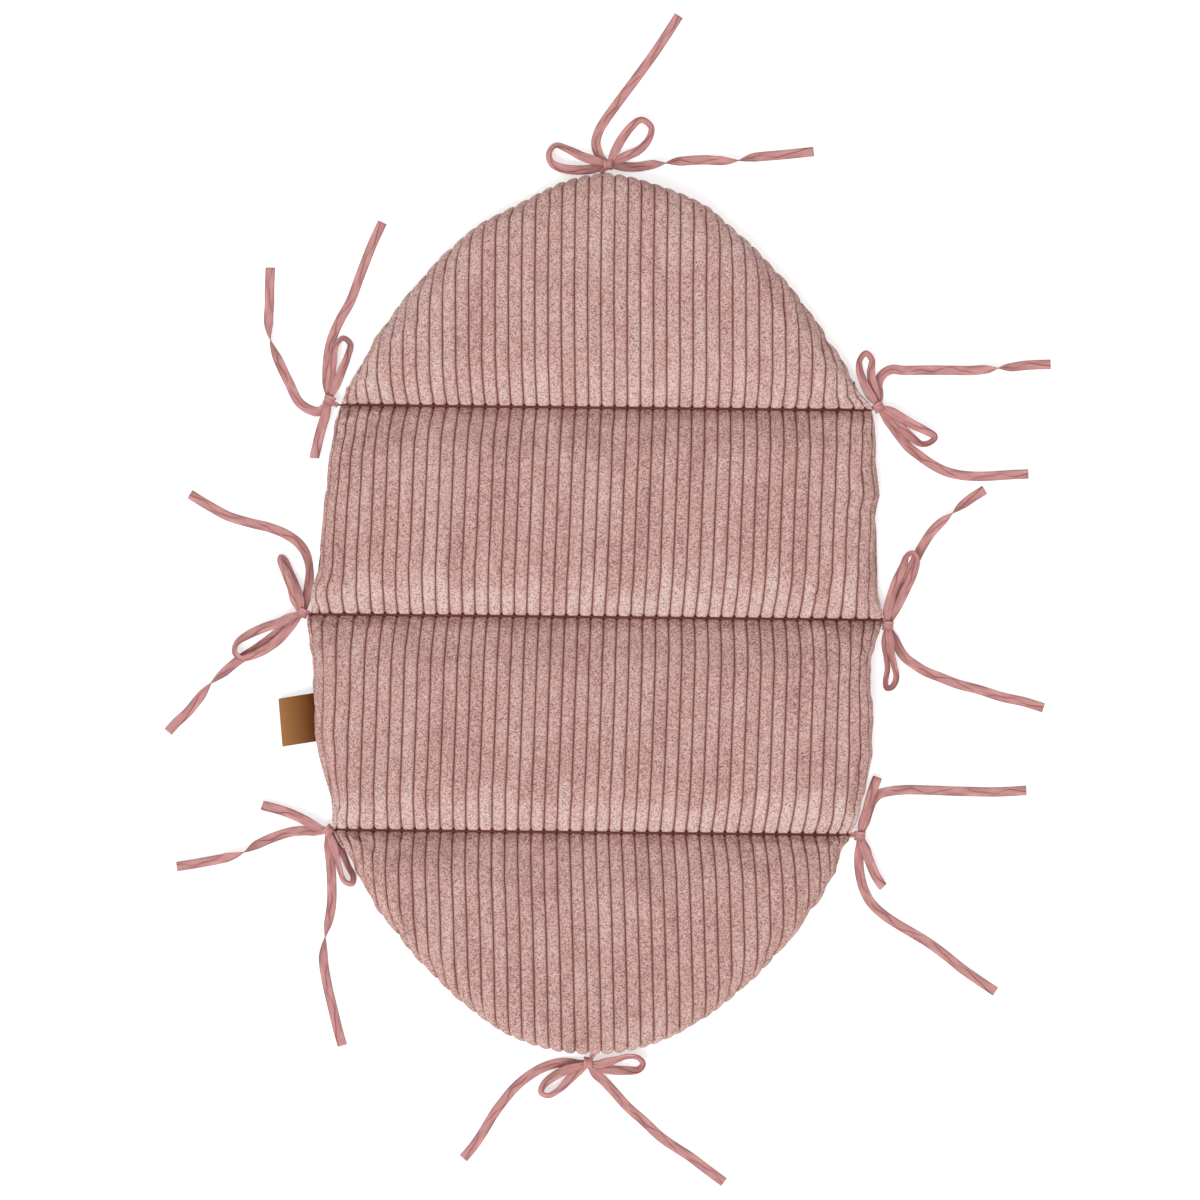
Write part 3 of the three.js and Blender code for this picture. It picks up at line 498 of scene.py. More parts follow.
class Finish:
    """A material with one Principled shader, built node by node."""

    def __init__(self, name, **sockets):
        self.material = bpy.data.materials.new(name)
        self.material.use_nodes = True
        self.tree = self.material.node_tree
        self.shader = self.tree.nodes["Principled BSDF"]
        self.place = self.add("ShaderNodeTexCoord").outputs["Object"]
        for socket, value in sockets.items():
            self.shader.inputs[socket.replace("_", " ")].default_value = value

    def add(self, kind, inputs=None, **settings):
        return add_node(self.tree, kind, inputs, **settings)

    def attribute(self, name):
        return self.add("ShaderNodeAttribute", attribute_name=name).outputs["Fac"]

    def math(self, operation, first, second, clamp=False):
        inputs = {0: first, 1: second}
        return self.add("ShaderNodeMath", inputs, operation=operation, use_clamp=clamp).outputs[0]

    def scaled(self, vector, scale):
        return self.add("ShaderNodeMapping", {"Vector": vector, "Scale": scale}).outputs[0]

    def noise(self, vector, scale, detail=2.0, roughness=0.5):
        inputs = {"Vector": vector, "Scale": scale, "Detail": detail, "Roughness": roughness}
        return self.add("ShaderNodeTexNoise", inputs).outputs["Fac"]

    def cells(self, vector, scale):
        return self.add("ShaderNodeTexVoronoi", {"Vector": vector, "Scale": scale}).outputs

    def weave(self, vector, scales, distortion, detail_scale=1.0):
        """Two sets of threads that cross, with their scales along x and along y."""
        threads = []
        for way, scale in zip("XY", scales):
            inputs = {"Vector": vector, "Scale": scale, "Distortion": distortion}
            inputs |= {"Detail": 1.0, "Detail Scale": detail_scale}
            made = self.add("ShaderNodeTexWave", inputs, bands_direction=way)
            threads.append(made.outputs["Fac"])
        return self.math("MULTIPLY", *threads)

    def span(self, value, low, high, new_low=0.0, new_high=1.0):
        inputs = {"Value": value, "From Min": low, "From Max": high}
        inputs |= {"To Min": new_low, "To Max": new_high}
        return self.add("ShaderNodeMapRange", inputs).outputs[0]

    def blend(self, factor, first, second):
        inputs = {0: factor, 6: first, 7: second}
        return self.add("ShaderNodeMix", inputs, data_type="RGBA").outputs[2]

    def brighten(self, colour, factor):
        inputs = {0: colour, "Scale": factor}
        return self.add("ShaderNodeVectorMath", inputs, operation="SCALE").outputs[0]

    def give(self, socket, value):
        self.tree.links.new(value, self.shader.inputs[socket])

    def bump(self, height, strength, distance):
        inputs = {"Height": height, "Strength": strength, "Distance": distance}
        self.give("Normal", self.add("ShaderNodeBump", inputs).outputs[0])


def linear(red, green, blue):
    """A colour as it shows on screen, turned into the values that a shader takes."""

    def one(value):
        share = value / 255
        return share / 12.92 if share <= 0.04045 else ((share + 0.055) / 1.055) ** 2.4

    return (one(red), one(green), one(blue), 1.0)


CREST_COLOUR = linear(211, 165, 156)
GROOVE_COLOUR = linear(152, 86, 77)
# Pile colours for the pile's own light and dark patches, and for the painted light at each panel's foot side and the
# painted shade at its head side
PILE_AND_PAINTED_LIGHT_COLOUR = linear(231, 197, 190)
PILE_AND_PAINTED_SHADE_COLOUR = linear(172, 126, 119)
# Painted shade in the notches where the wales end at a seam, and along the seam
NOTCH_SHADE_COLOUR = linear(84, 40, 36)
SPECK_COLOUR = linear(248, 228, 220)
TAPE_COLOUR = linear(221, 164, 161)
# A darker tape colour: painted crease shade on the tape, and a random tone on the other cloths
TAPE_TONE_AND_SHADE_COLOUR = linear(188, 122, 120)
# Painted shade for the tape's fold and edges
TAPE_SHADE_COLOUR = linear(150, 78, 76)
BACK_COLOUR = linear(203, 150, 148)
# Painted shade: the seam strip lies in shade and is coloured darker than its cloth
SEAM_SHADE_COLOUR = linear(104, 66, 61)
LEATHER_COLOUR = linear(98, 46, 7)
LEATHER_DEEP_COLOUR = linear(62, 22, 2)
# Painted light on the tab towards its fold
LEATHER_PAINTED_LIGHT_COLOUR = linear(190, 135, 84)
# How many tufts of pile to a metre, and how bright the pile gets before its specks show
TUFT_SCALE = 1050.0
BRIGHTEST_PILE = 1.08
TUFT_BUMP, WEAVE_BUMP, PORE_BUMP = 0.5 * MM, 0.25 * MM, 0.2 * MM


def corduroy_finish():
    """Cut pile on raised wales: speckled crests, dark grooves, painted shade in the notches and along the seams, and
    the pile's own light and dark patches mixed with painted light at each panel's foot side and painted shade at its
    head side.
    """
    f = Finish(
        "dusty_rose_corduroy",
        Roughness=0.95,
        Specular_IOR_Level=0.12,
        Sheen_Weight=0.25,
        Sheen_Roughness=0.45,
        Sheen_Tint=linear(236, 212, 208),
    )
    groove = f.attribute("groove")
    tufts = f.cells(f.place, TUFT_SCALE)["Color"]
    tufts = f.add("ShaderNodeSeparateColor", {0: tufts}).outputs[0]
    grain = f.noise(f.place, 1.2 * TUFT_SCALE, 2.0, 0.7)
    strokes = f.noise(f.scaled(f.place, (1.0, 0.2, 1.0)), 120, 3.0, 0.65)
    patches = f.noise(f.scaled(f.place, (1.0, 0.5, 1.0)), 30, 4.0, 0.6)
    # The lay carries painted light at each panel's foot side and painted shade at its head side, mixed with the pile's
    # own patches and strokes
    lay = f.math("ADD", f.attribute("nap"), f.span(patches, 0.38, 0.62, -0.26, 0.26))
    lay = f.math("ADD", lay, f.span(strokes, 0.3, 0.7, -0.25, 0.25))
    light = f.blend(f.math("MAXIMUM", lay, 0.0, clamp=True), CREST_COLOUR, PILE_AND_PAINTED_LIGHT_COLOUR)
    dark = f.math("MAXIMUM", f.math("MULTIPLY", lay, -1.0), 0.0, clamp=True)
    crest = f.blend(dark, light, PILE_AND_PAINTED_SHADE_COLOUR)
    threads = f.span(grain, 0.25, 0.75, -0.34, 0.34)
    speckle = f.math("ADD", threads, f.span(f.math("POWER", tufts, 0.8), 0.0, 1.0, 0.44, 1.44))
    crest = f.brighten(crest, f.math("MINIMUM", speckle, BRIGHTEST_PILE))
    crest = f.blend(f.span(speckle, BRIGHTEST_PILE, 1.7, 0.0, 0.75), crest, SPECK_COLOUR)
    body = f.blend(f.math("MINIMUM", groove, 1.0), crest, GROOVE_COLOUR)
    # A groove value above 1 is painted shade in the notches and along the seam
    f.give("Base Color", f.blend(f.span(groove, 1.0, 1.8), body, NOTCH_SHADE_COLOUR))
    f.bump(f.math("ADD", grain, tufts), 0.6, TUFT_BUMP)
    return f.material


def tape_finish():
    """Woven flat tape, with painted shade in its creases, along a fold and at its edges, and painted light on one
    side. Along and across it run in millimetres, so its weave follows every bend.
    """
    f = Finish(
        "rose_cotton_tape",
        Roughness=0.82,
        Specular_IOR_Level=0.2,
        Sheen_Weight=0.15,
        Sheen_Roughness=0.4,
        Sheen_Tint=linear(240, 205, 204),
    )
    along = f.attribute("along")
    across = f.attribute("across")
    flat = f.add("ShaderNodeCombineXYZ", {"X": along, "Y": across}).outputs[0]
    slow = f.add("ShaderNodeCombineXYZ", {"X": along}).outputs[0]
    weave = f.weave(flat, (0.7, 0.85), 0.6, 2.0)
    fibres = f.noise(flat, 1.6, 2.0)
    # Painted shade in creases along the tape
    creases = f.noise(f.scaled(flat, (0.05, 0.35, 1.0)), 1.0, 3.0, 0.6)
    body = f.blend(f.span(creases, 0.35, 0.65), TAPE_COLOUR, TAPE_TONE_AND_SHADE_COLOUR)
    body = f.blend(0.55, body, TAPE_COLOUR)
    # Painted shade along a fold that wanders along the tape and shows in stretches
    sway = f.span(f.noise(slow, 0.03, 1.0), 0.25, 0.75, -5.0, 5.0)
    from_shaded_fold = f.math("ABSOLUTE", f.math("SUBTRACT", across, sway), 0.0)
    fold = f.math("SUBTRACT", 1.0, f.span(from_shaded_fold, 0.15, 0.85))
    shown = f.span(f.noise(slow, 0.021, 2.0), 0.42, 0.52)
    fold = f.math("MULTIPLY", fold, f.math("MULTIPLY", shown, 0.8))
    body = f.blend(fold, body, TAPE_SHADE_COLOUR)
    # Painted light on one side of the tape and painted shade on the other, changing side along it
    painted_side_light = f.span(f.noise(slow, 0.05, 1.0), 0.4, 0.6, -1.0, 1.0)
    body = f.brighten(body, f.span(f.math("MULTIPLY", across, painted_side_light), -4.0, 4.0, 0.68, 1.24))
    body = f.brighten(body, f.span(fibres, 0.3, 0.7, 0.94, 1.06))
    body = f.brighten(body, f.span(weave, 0.0, 1.0, 0.93, 1.05))
    # Painted shade along both edges
    edge = f.span(f.math("ABSOLUTE", across, 0.0), 3.0, 3.9)
    f.give("Base Color", f.blend(f.math("MULTIPLY", edge, 0.5), body, TAPE_SHADE_COLOUR))
    f.bump(f.math("ADD", weave, f.math("MULTIPLY", fibres, 0.6)), 0.35, WEAVE_BUMP)
    return f.material


def woven_finish(name, colour, deep, roughness):
    """Plain woven cotton by its place on the piece."""
    f = Finish(name, Roughness=roughness, Specular_IOR_Level=0.18, Sheen_Weight=0.12)
    weave = f.weave(f.place, (360.0, 360.0), 0.8)
    slubs = f.noise(f.scaled(f.place, (1.0, 0.1, 1.0)), 900, 2.0)
    patches = f.noise(f.place, 22, 3.0)
    body = f.blend(f.span(patches, 0.35, 0.65, 0.0, 0.35), colour, deep)
    body = f.brighten(body, f.span(slubs, 0.3, 0.7, 0.94, 1.06))
    f.give("Base Color", f.brighten(body, f.span(weave, 0.0, 1.0, 0.92, 1.04)))
    f.bump(weave, 0.3, WEAVE_BUMP)
    return f.material


def leather_finish():
    """Smooth tanned leather, pebbled and brushed, with painted light that lightens it towards the fold, leaving it
    darkest by the pad as painted shade.
    """
    f = Finish("tan_leather", Specular_IOR_Level=0.07, Coat_Weight=0.01, Coat_Roughness=0.35)
    pebbles = f.cells(f.place, 1500)["Distance"]
    pores = f.noise(f.place, 2400, 2.0)
    brushed = f.noise(f.scaled(f.place, (0.25, 1.0, 1.0)), 260, 4.0, 0.65)
    body = f.blend(f.span(brushed, 0.3, 0.7), LEATHER_COLOUR, LEATHER_DEEP_COLOUR)
    body = f.blend(0.6, body, LEATHER_COLOUR)
    # Painted light towards the fold; by the pad the tab stays dark as painted shade
    body = f.blend(f.math("MULTIPLY", f.attribute("worn"), 0.75), body, LEATHER_PAINTED_LIGHT_COLOUR)
    f.give("Base Color", f.brighten(body, f.span(pores, 0.3, 0.7, 0.95, 1.05)))
    f.give("Roughness", f.span(brushed, 0.2, 0.8, 0.36, 0.52))
    f.bump(f.math("SUBTRACT", pores, pebbles), 0.25, PORE_BUMP)
    return f.material


# Camera, floor and light

# The camera looks straight down from far above, a little turned, as the photo was taken
VIEW_CENTRE = (16.5 * MM, 11.5 * MM)
VIEW_WIDTH = 1020 * MM
VIEW_TURN = math.radians(0.58)
VIEW_REACH = 30
CAMERA_HEIGHT = 5.2
SENSOR = 36
FLOOR_SIZE = 14
FLOOR_COLOUR = (0.8, 0.8, 0.8, 1)
FLOOR_LIFT = 0.55
WORLD_LIGHT = 0.62
KEY_LIGHT = 1.35
KEY_ELEVATION = math.radians(52)
KEY_ASIDE = 0.25
KEY_SPREAD = math.radians(28)


def build_camera():
    camera = bpy.data.cameras.new("camera")
    camera.sensor_fit = "HORIZONTAL"
    camera.sensor_width = SENSOR
    camera.lens = SENSOR * CAMERA_HEIGHT / VIEW_WIDTH
    camera.clip_end = VIEW_REACH
    piece = bpy.data.objects.new("camera", camera)
    bpy.context.scene.collection.objects.link(piece)
    piece.location = (*VIEW_CENTRE, CAMERA_HEIGHT + SEAM_Z)
    piece.rotation_euler = (0, 0, VIEW_TURN)
    bpy.context.scene.camera = piece


def seen_directly(tree, strength, otherwise=0.0):
    """A strength for what the camera, gloss and glass see, and another for all other light."""
    rays = add_node(tree, "ShaderNodeLightPath").outputs
    direct = rays["Is Camera Ray"]
    for kind in ("Is Glossy Ray", "Is Transmission Ray"):
        inputs = {0: direct, 1: rays[kind]}
        direct = add_node(tree, "ShaderNodeMath", inputs, operation="MAXIMUM").outputs[0]
    inputs = {"Value": direct, "To Min": otherwise, "To Max": strength}
    return add_node(tree, "ShaderNodeMapRange", inputs).outputs[0]


def build_floor():
    bpy.ops.mesh.primitive_plane_add(size=FLOOR_SIZE)
    floor = added("floor")
    material = bpy.data.materials.new("white_floor")
    material.use_nodes = True
    tree = material.node_tree
    tree.nodes.remove(tree.nodes["Principled BSDF"])
    matt = add_node(tree, "ShaderNodeBsdfDiffuse", {"Color": FLOOR_COLOUR}).outputs[0]
    lift = {"Strength": seen_directly(tree, FLOOR_LIFT)}
    glow = add_node(tree, "ShaderNodeEmission", lift).outputs[0]
    both = add_node(tree, "ShaderNodeAddShader", {0: matt, 1: glow}).outputs[0]
    tree.links.new(both, tree.nodes["Material Output"].inputs["Surface"])
    floor.data.materials.append(material)
    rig.stage(floor)


def build_light():
    world = bpy.data.worlds.new("studio")
    world.use_nodes = True
    tree = world.node_tree
    background = tree.nodes["Background"]
    background.inputs["Color"].default_value = (1, 1, 1, 1)
    tree.links.new(seen_directly(tree, 1.0, WORLD_LIGHT), background.inputs["Strength"])
    bpy.context.scene.world = world
    sun = bpy.data.lights.new("key", "SUN")
    sun.energy = KEY_LIGHT
    sun.angle = KEY_SPREAD
    lamp = bpy.data.objects.new("key", sun)
    bpy.context.scene.collection.objects.link(lamp)
    toward = Vector((KEY_ASIDE, math.cos(KEY_ELEVATION), -math.sin(KEY_ELEVATION)))
    lamp.rotation_euler = toward.to_track_quat("-Z", "Y").to_euler()


# The ties

TAPE_WIDTH = 8 * MM
TAPE_THICKNESS = 0.8 * MM
TAPE_FLOOR_GAP = 0.6 * MM
TAPE_STEP = 1.6 * MM
# How many degrees a tape turns from ring to ring, and how far a loop's tape leans on its edge
TURN_PER_RING = 7
LOOP_LEAN_SHARE = 0.6
# How high a leg passes through its knot, on the way out and on the way back, in millimetres
KNOT_LIFTS = (5.5, 3)
# How narrow and how much thicker the tape is gathered in the knot, and how far that reaches
KNOT_GATHER = 0.5
GATHER_SWELL = 0.8
GATHER_REACH = 15 * MM
HEM_LENGTH = 5 * MM
HEM_SWELL = 1.5
# The tape's width cups up and down along it, about the line where the cup crosses the flat
CUP_DEPTH = 0.35 * MM
CUP_LENGTH = 9 * MM
CUP_CROSSING = 0.4
# Half of the tape's section, as shares of its half width and half thickness
HALF_SECTION = [
    (-1, 0.35), (-0.93, 0.95), (-0.62, 1), (-0.2, 0.86), (0.2, 0.86), (0.62, 1), (0.93, 0.95),
    (1, 0.35),
]
TAPE_SECTION = HALF_SECTION + [(a, -b) for a, b in reversed(HALF_SECTION)]


def spline(points):
    """The centripetal curve through points, as a function of span and share of the span."""
    points = [Vector(p) for p in points]
    whole = [2 * points[0] - points[1], *points, 2 * points[-1] - points[-2]]

    def at(span, t):
        p0, p1, p2, p3 = whole[span : span + 4]
        gap = max((p1 - p2).length ** 0.5, 1e-3)
        before = (p0 - p1).length ** 0.5 or gap
        after = (p2 - p3).length ** 0.5 or gap
        start = ((p1 - p0) / before - (p2 - p0) / (before + gap) + (p2 - p1) / gap) * gap
        stop = ((p2 - p1) / gap - (p3 - p1) / (gap + after) + (p3 - p2) / after) * gap
        square = (-3 * p1 + 3 * p2 - 2 * start - stop) * t**2
        cube = (2 * p1 - 2 * p2 + start + stop) * t**3
        return p1 + start * t + square + cube

    return at


def leg_route(anchor, knot, loop, tail):
    """A leg's way out of the knot, round its loop, through the knot again and on as a tail."""
    loop, tail = [[(*point, 0, 0)[:4] for point in stretch] for stretch in (loop, tail)]
    out_lift, back_lift = KNOT_LIFTS
    route = [(*knot, out_lift, 0), *loop, (*knot, back_lift, tail[0][3]), *tail]
    x0, y0 = anchor
    return [(PAD_X / MM + x0 / MM + x, y0 / MM + y, lift, turn) for x, y, lift, turn in route]


def tape_rings(route, loop_spans):
    """Places along a tape with the turn of its face. In its first spans, those of the loop, it
    leans only part of the way on its edge."""
    curve = spline([Vector(p[:3]) * MM for p in route])
    places = []
    for span in range(len(route) - 1):
        first, last = route[span], route[span + 1]
        length = (Vector(last[:3]) - Vector(first[:3])).length * MM
        steps = max(2, round(length / TAPE_STEP), round(abs(last[3] - first[3]) / TURN_PER_RING))
        lean = LOOP_LEAN_SHARE if span < loop_spans else 1
        for step in range(1 if span else 0, steps + 1):
            share = step / steps
            turn = math.radians((first[3] + (last[3] - first[3]) * share) * lean)
            place = curve(span, share)
            edge_on = abs(math.sin(turn)) * TAPE_WIDTH + abs(math.cos(turn)) * TAPE_THICKNESS
            place.z += edge_on / 2 + TAPE_FLOOR_GAP
            places.append((place, turn))
    return places


def tape_ways(places):
    """At each place the way along the tape and the level way across it, which never flips over."""
    side = None
    for i in range(len(places)):
        before = places[max(i - 1, 0)][0]
        after = places[min(i + 1, len(places) - 1)][0]
        along = (after - before).normalized()
        level = Vector((-along.y, along.x, 0))
        if side is None or level.length > 0.5:
            level.normalize()
            if side is not None and level.dot(side) < 0:
                level.negate()
            side = level
        yield along, (side - along * side.dot(along)).normalized()


def tube_faces(rings, count):
    """The faces of a closed tube of rings with a count of points each."""
    faces = [tuple(reversed(range(count)))]
    for i in range(rings - 1):
        for j in range(count):
            a, b = i * count + j, i * count + (j + 1) % count
            faces.append((a, b, b + count, a + count))
    last = (rings - 1) * count
    faces.append(tuple(range(last, last + count)))
    return faces


def build_leg(name, body, anchor, knot, loop, tail):
    """One leg of a bow, with its path and its length."""
    places = tape_rings(leg_route(anchor, knot, loop, tail), len(loop) + 1)
    centre = Vector((PAD_X + anchor[0] + knot[0] * MM, anchor[1] + knot[1] * MM, 0))
    steps = [(after[0] - before[0]).length for before, after in zip(places, places[1:])]
    total = sum(steps)
    travelled = 0.0
    points, along_values, across_values = [], [], []
    for (place, turn), (along, flat), step in zip(places, tape_ways(places), [0.0, *steps]):
        travelled += step
        across = Matrix.Rotation(turn, 3, along) @ flat
        up = along.cross(across)
        near = math.hypot(place.x - centre.x, place.y - centre.y)
        gathered = 1 - float(smooth_step(near, 0, GATHER_REACH))
        wide = TAPE_WIDTH / 2 * (1 - (1 - KNOT_GATHER) * gathered)
        thick = TAPE_THICKNESS / 2 * (1 + GATHER_SWELL * gathered)
        if total - travelled < HEM_LENGTH:
            thick *= HEM_SWELL
        cup = CUP_DEPTH * (1 - gathered) * math.sin(travelled / CUP_LENGTH)
        for a, b in TAPE_SECTION:
            offset = across * (a * wide) + up * (b * thick + cup * (a * a - CUP_CROSSING))
            points.append(place + offset)
            along_values.append(travelled / MM)
            across_values.append(a * wide / MM)
    piece = mesh_piece(name, points, tube_faces(len(places), len(TAPE_SECTION)))
    set_attribute(piece, "along", along_values)
    set_attribute(piece, "across", across_values)
    point_normals_out(piece)
    shade_smooth(piece)
    piece.data.materials.append(TAPE)
    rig.ride(piece, body)
    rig.slot(piece, "tape")
    return piece, [tuple(place) for place, _ in places], total


def build_ties():
    wrap = model_wrap()
    for tie, (body, anchor) in TIE_PLACES.items():
        routes = TIE_ROUTES[tie]
        knot, root = build_knot(wrap, tie, body, anchor, routes)
        for leg in "ab":
            loop, tail = routes[f"loop_{leg}"], routes[f"tail_{leg}"]
            piece, path, length = build_leg(
                f"{tie}_leg_{leg}", body, anchor, routes["knot"], loop, tail
            )
            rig.replaces(piece, f"{tie}_loop_{leg}", f"{tie}_tail_{leg}")
            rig.cord(
                piece,
                exit=path[0],
                length=round(length, 3),
                diameter=TAPE_WIDTH,
                far_end="bare",
                stiffness="limp",
                lay="loose",
                path=path,
                with_pieces=[knot, root] if leg == "a" else [],
            )
    bpy.data.objects.remove(wrap)


# The pad

# The shapes of the panels' outlines, as end_panel and middle_panel draw them
HEAD_FLAT, HEAD_FULL = 1.19, 0.55
FOOT_FLAT, FOOT_FULL = 1.18, 0.5
UPPER_SWELL, UPPER_SHARPNESS = 10.5 * MM, 12
LOWER_SWELL, LOWER_SHARPNESS = 36 * MM, 2
# How far the left and right edges are sewn inside that outline, or outside it below 0, in
# millimetres at shares of the panel's length
LEFT_TRIM = {
    "head": (
        (0, 3.5), (0.12, 5.4), (0.24, 3.4), (0.5, 3), (0.75, 2), (0.86, 6.4), (0.9, 5),
        (0.935, 3.8), (0.96, 2), (1, 1),
    ),
    "upper": (
        (0, 3.5), (0.06, 7), (0.15, 8.5), (0.34, 6), (0.55, 2.5), (0.8, 2.2),
        (0.86, -3.2), (0.905, -5.7), (0.967, -4.5), (1, -5),
    ),
    "lower": (
        (0, -8), (0.044, -7.6), (0.11, -4.5), (0.16, -3.2), (0.2, -1.8), (0.3, -0.8),
        (0.57, -2), (0.67, -0.5), (0.89, 0), (0.95, -3.6), (1, -5.5),
    ),
    "foot": ((0, -5.5), (0.05, -4.5), (0.08, -3.4), (0.125, 0), (0.3, -1.5), (0.6, 0), (1, 0)),
}
RIGHT_TRIM = {
    "head": (
        (0, -9), (0.04, -7), (0.07, -3.4), (0.15, -1.5), (0.6, -2.4), (0.85, -3.5),
        (0.9, 0), (0.933, 3.6), (0.958, 7), (1, 9),
    ),
    "upper": (
        (0, -7.5), (0.05, -4.5), (0.09, -2), (0.2, 1), (0.31, 0.2),
        (0.41, -2.6), (0.44, -2.2), (0.47, 1), (0.55, 1), (0.73, 1.6), (0.82, 0.4),
        (0.86, 0), (0.905, -0.7), (0.948, -2.4), (1, -5.3),
    ),
    "lower": (
        (0, -4.5), (0.042, -1), (0.093, 3.2), (0.135, 4.6), (0.172, 7.4), (0.2, 9),
        (0.3, 8), (0.4, 6.3), (0.6, 2), (0.85, 1), (0.92, -0.8), (1, 0.5),
    ),
    "foot": (
        (0, 0.5), (0.025, 0.2), (0.052, 2.8), (0.07, 4.2), (0.092, 3.4), (0.124, 1.6),
        (0.169, -0.8), (0.23, 0), (0.4, -1), (0.7, 1.5), (0.85, 0), (0.92, -4), (1, -4),
    ),
}
# How far the two tips lean sideways, and from where to where along their panels
HEAD_SWAY, FOOT_SWAY = 7 * MM, -4.5 * MM
SWAY_SPAN_SHARES = (0.72, 0.97)

# How far the wales wander sideways along each panel, in the same way as the trims
DRIFT = {
    "head": ((0, 1.7), (0.2, 0.8), (0.5, 0), (0.8, 0.1), (1, 0.4)),
    "upper": ((0, 1.5), (0.1, 0.5), (0.3, -0.6), (0.6, -2.1), (0.85, -3.6), (1, -4.8)),
    "lower": ((0, 5.4), (0.2, 4.9), (0.45, 3.8), (0.7, 2.6), (0.9, 1.2), (1, 0.3)),
    "foot": ((0, 0.3), (0.15, 1.6), (0.4, 3.7), (0.7, 5.6), (1, 7.2)),
}
DRIFT_EDGE_POWER = 16
# How far from the edge the cloth is let out or in, and how much it is taken in at a seam
LET_OUT_WIDTH = 60 * MM
SEAM_TAKE_IN = 0.017
# No line of cloth is shorter than this, nor any of a middle panel's outermost ones than that
MIN_RUN = 2.5 * MM
SHORTEST_EDGE_RUN = 45 * MM
OUTERMOST_INSIDE = 0.05 * MM

# The padding: how it rises from the edge and the seams, and how it domes over its middle
EDGE_ROUND = 17 * MM
SEAM_SHOULDER = 40 * MM
SEAM_ROUNDNESS = 1.6
SEAM_CLEAR = 0.6 * MM
LIP = 0.3 * MM
MIDDLE_DOMING = 1.5 * MM
DOMING_REACH = 90 * MM

# The folds in the long edges: the side, the place along the panel and the depth in millimetres
PUCKERS = {
    "upper": ((1, 80, 3.2), (1, 92, 1.4), (-1, 93, 2), (-1, 74, 1.4)),
    "lower": ((1, 104, 2.8), (-1, 132, 1.6), (1, 60, 1.2)),
    "head": ((1, 60, 1.5), (-1, 48, 1.2)),
    "foot": ((-1, 40, 1.4), (1, 66, 1)),
}
PUCKER_SPREAD = 5 * MM
PUCKER_REACH = 7 * MM
CREASE_SLANT = -0.7
CREASE_WIDTH = 1.5 * MM
CREASE_REACH = 13 * MM
CREASE_SHARE = 0.6
# The small in and out of the sewn edge: where its wave starts on the right and on the left, and
# how strong and how quick its second wave is
EDGE_WAVER = 0.5 * MM
EDGE_WAVER_LENGTH = 5.5 * MM
EDGE_WAVER_POWER = 10
EDGE_WAVER_STARTS = (1.3, 4.1)
SECOND_WAVE = (0.6, 2.3)

# Distances of the rows of points from a panel's ends, close together where it curves most
END_ROWS = [
    d * MM for d in (0, 0.3, 0.65, 1.1, 1.9, 2.9, 4.2, 5.8, 7.8, 10.4, 14, 18.5, 24, 31, 39.5)
]
MIDDLE_ROWS = 14
MIDDLE_ROW_GAP = 3 * MM
ROW_TABLE = 1200
# Where the lines of points lie across a wale, closest together at its grooves
WALE_PITCH = 11.16 * MM
WALE_SHARES = (0, 0.05, 0.1, 0.16, 0.23, 0.33, 0.5, 0.67, 0.77, 0.84, 0.9, 0.95)
NARROWEST_COLUMN = 0.3 * MM


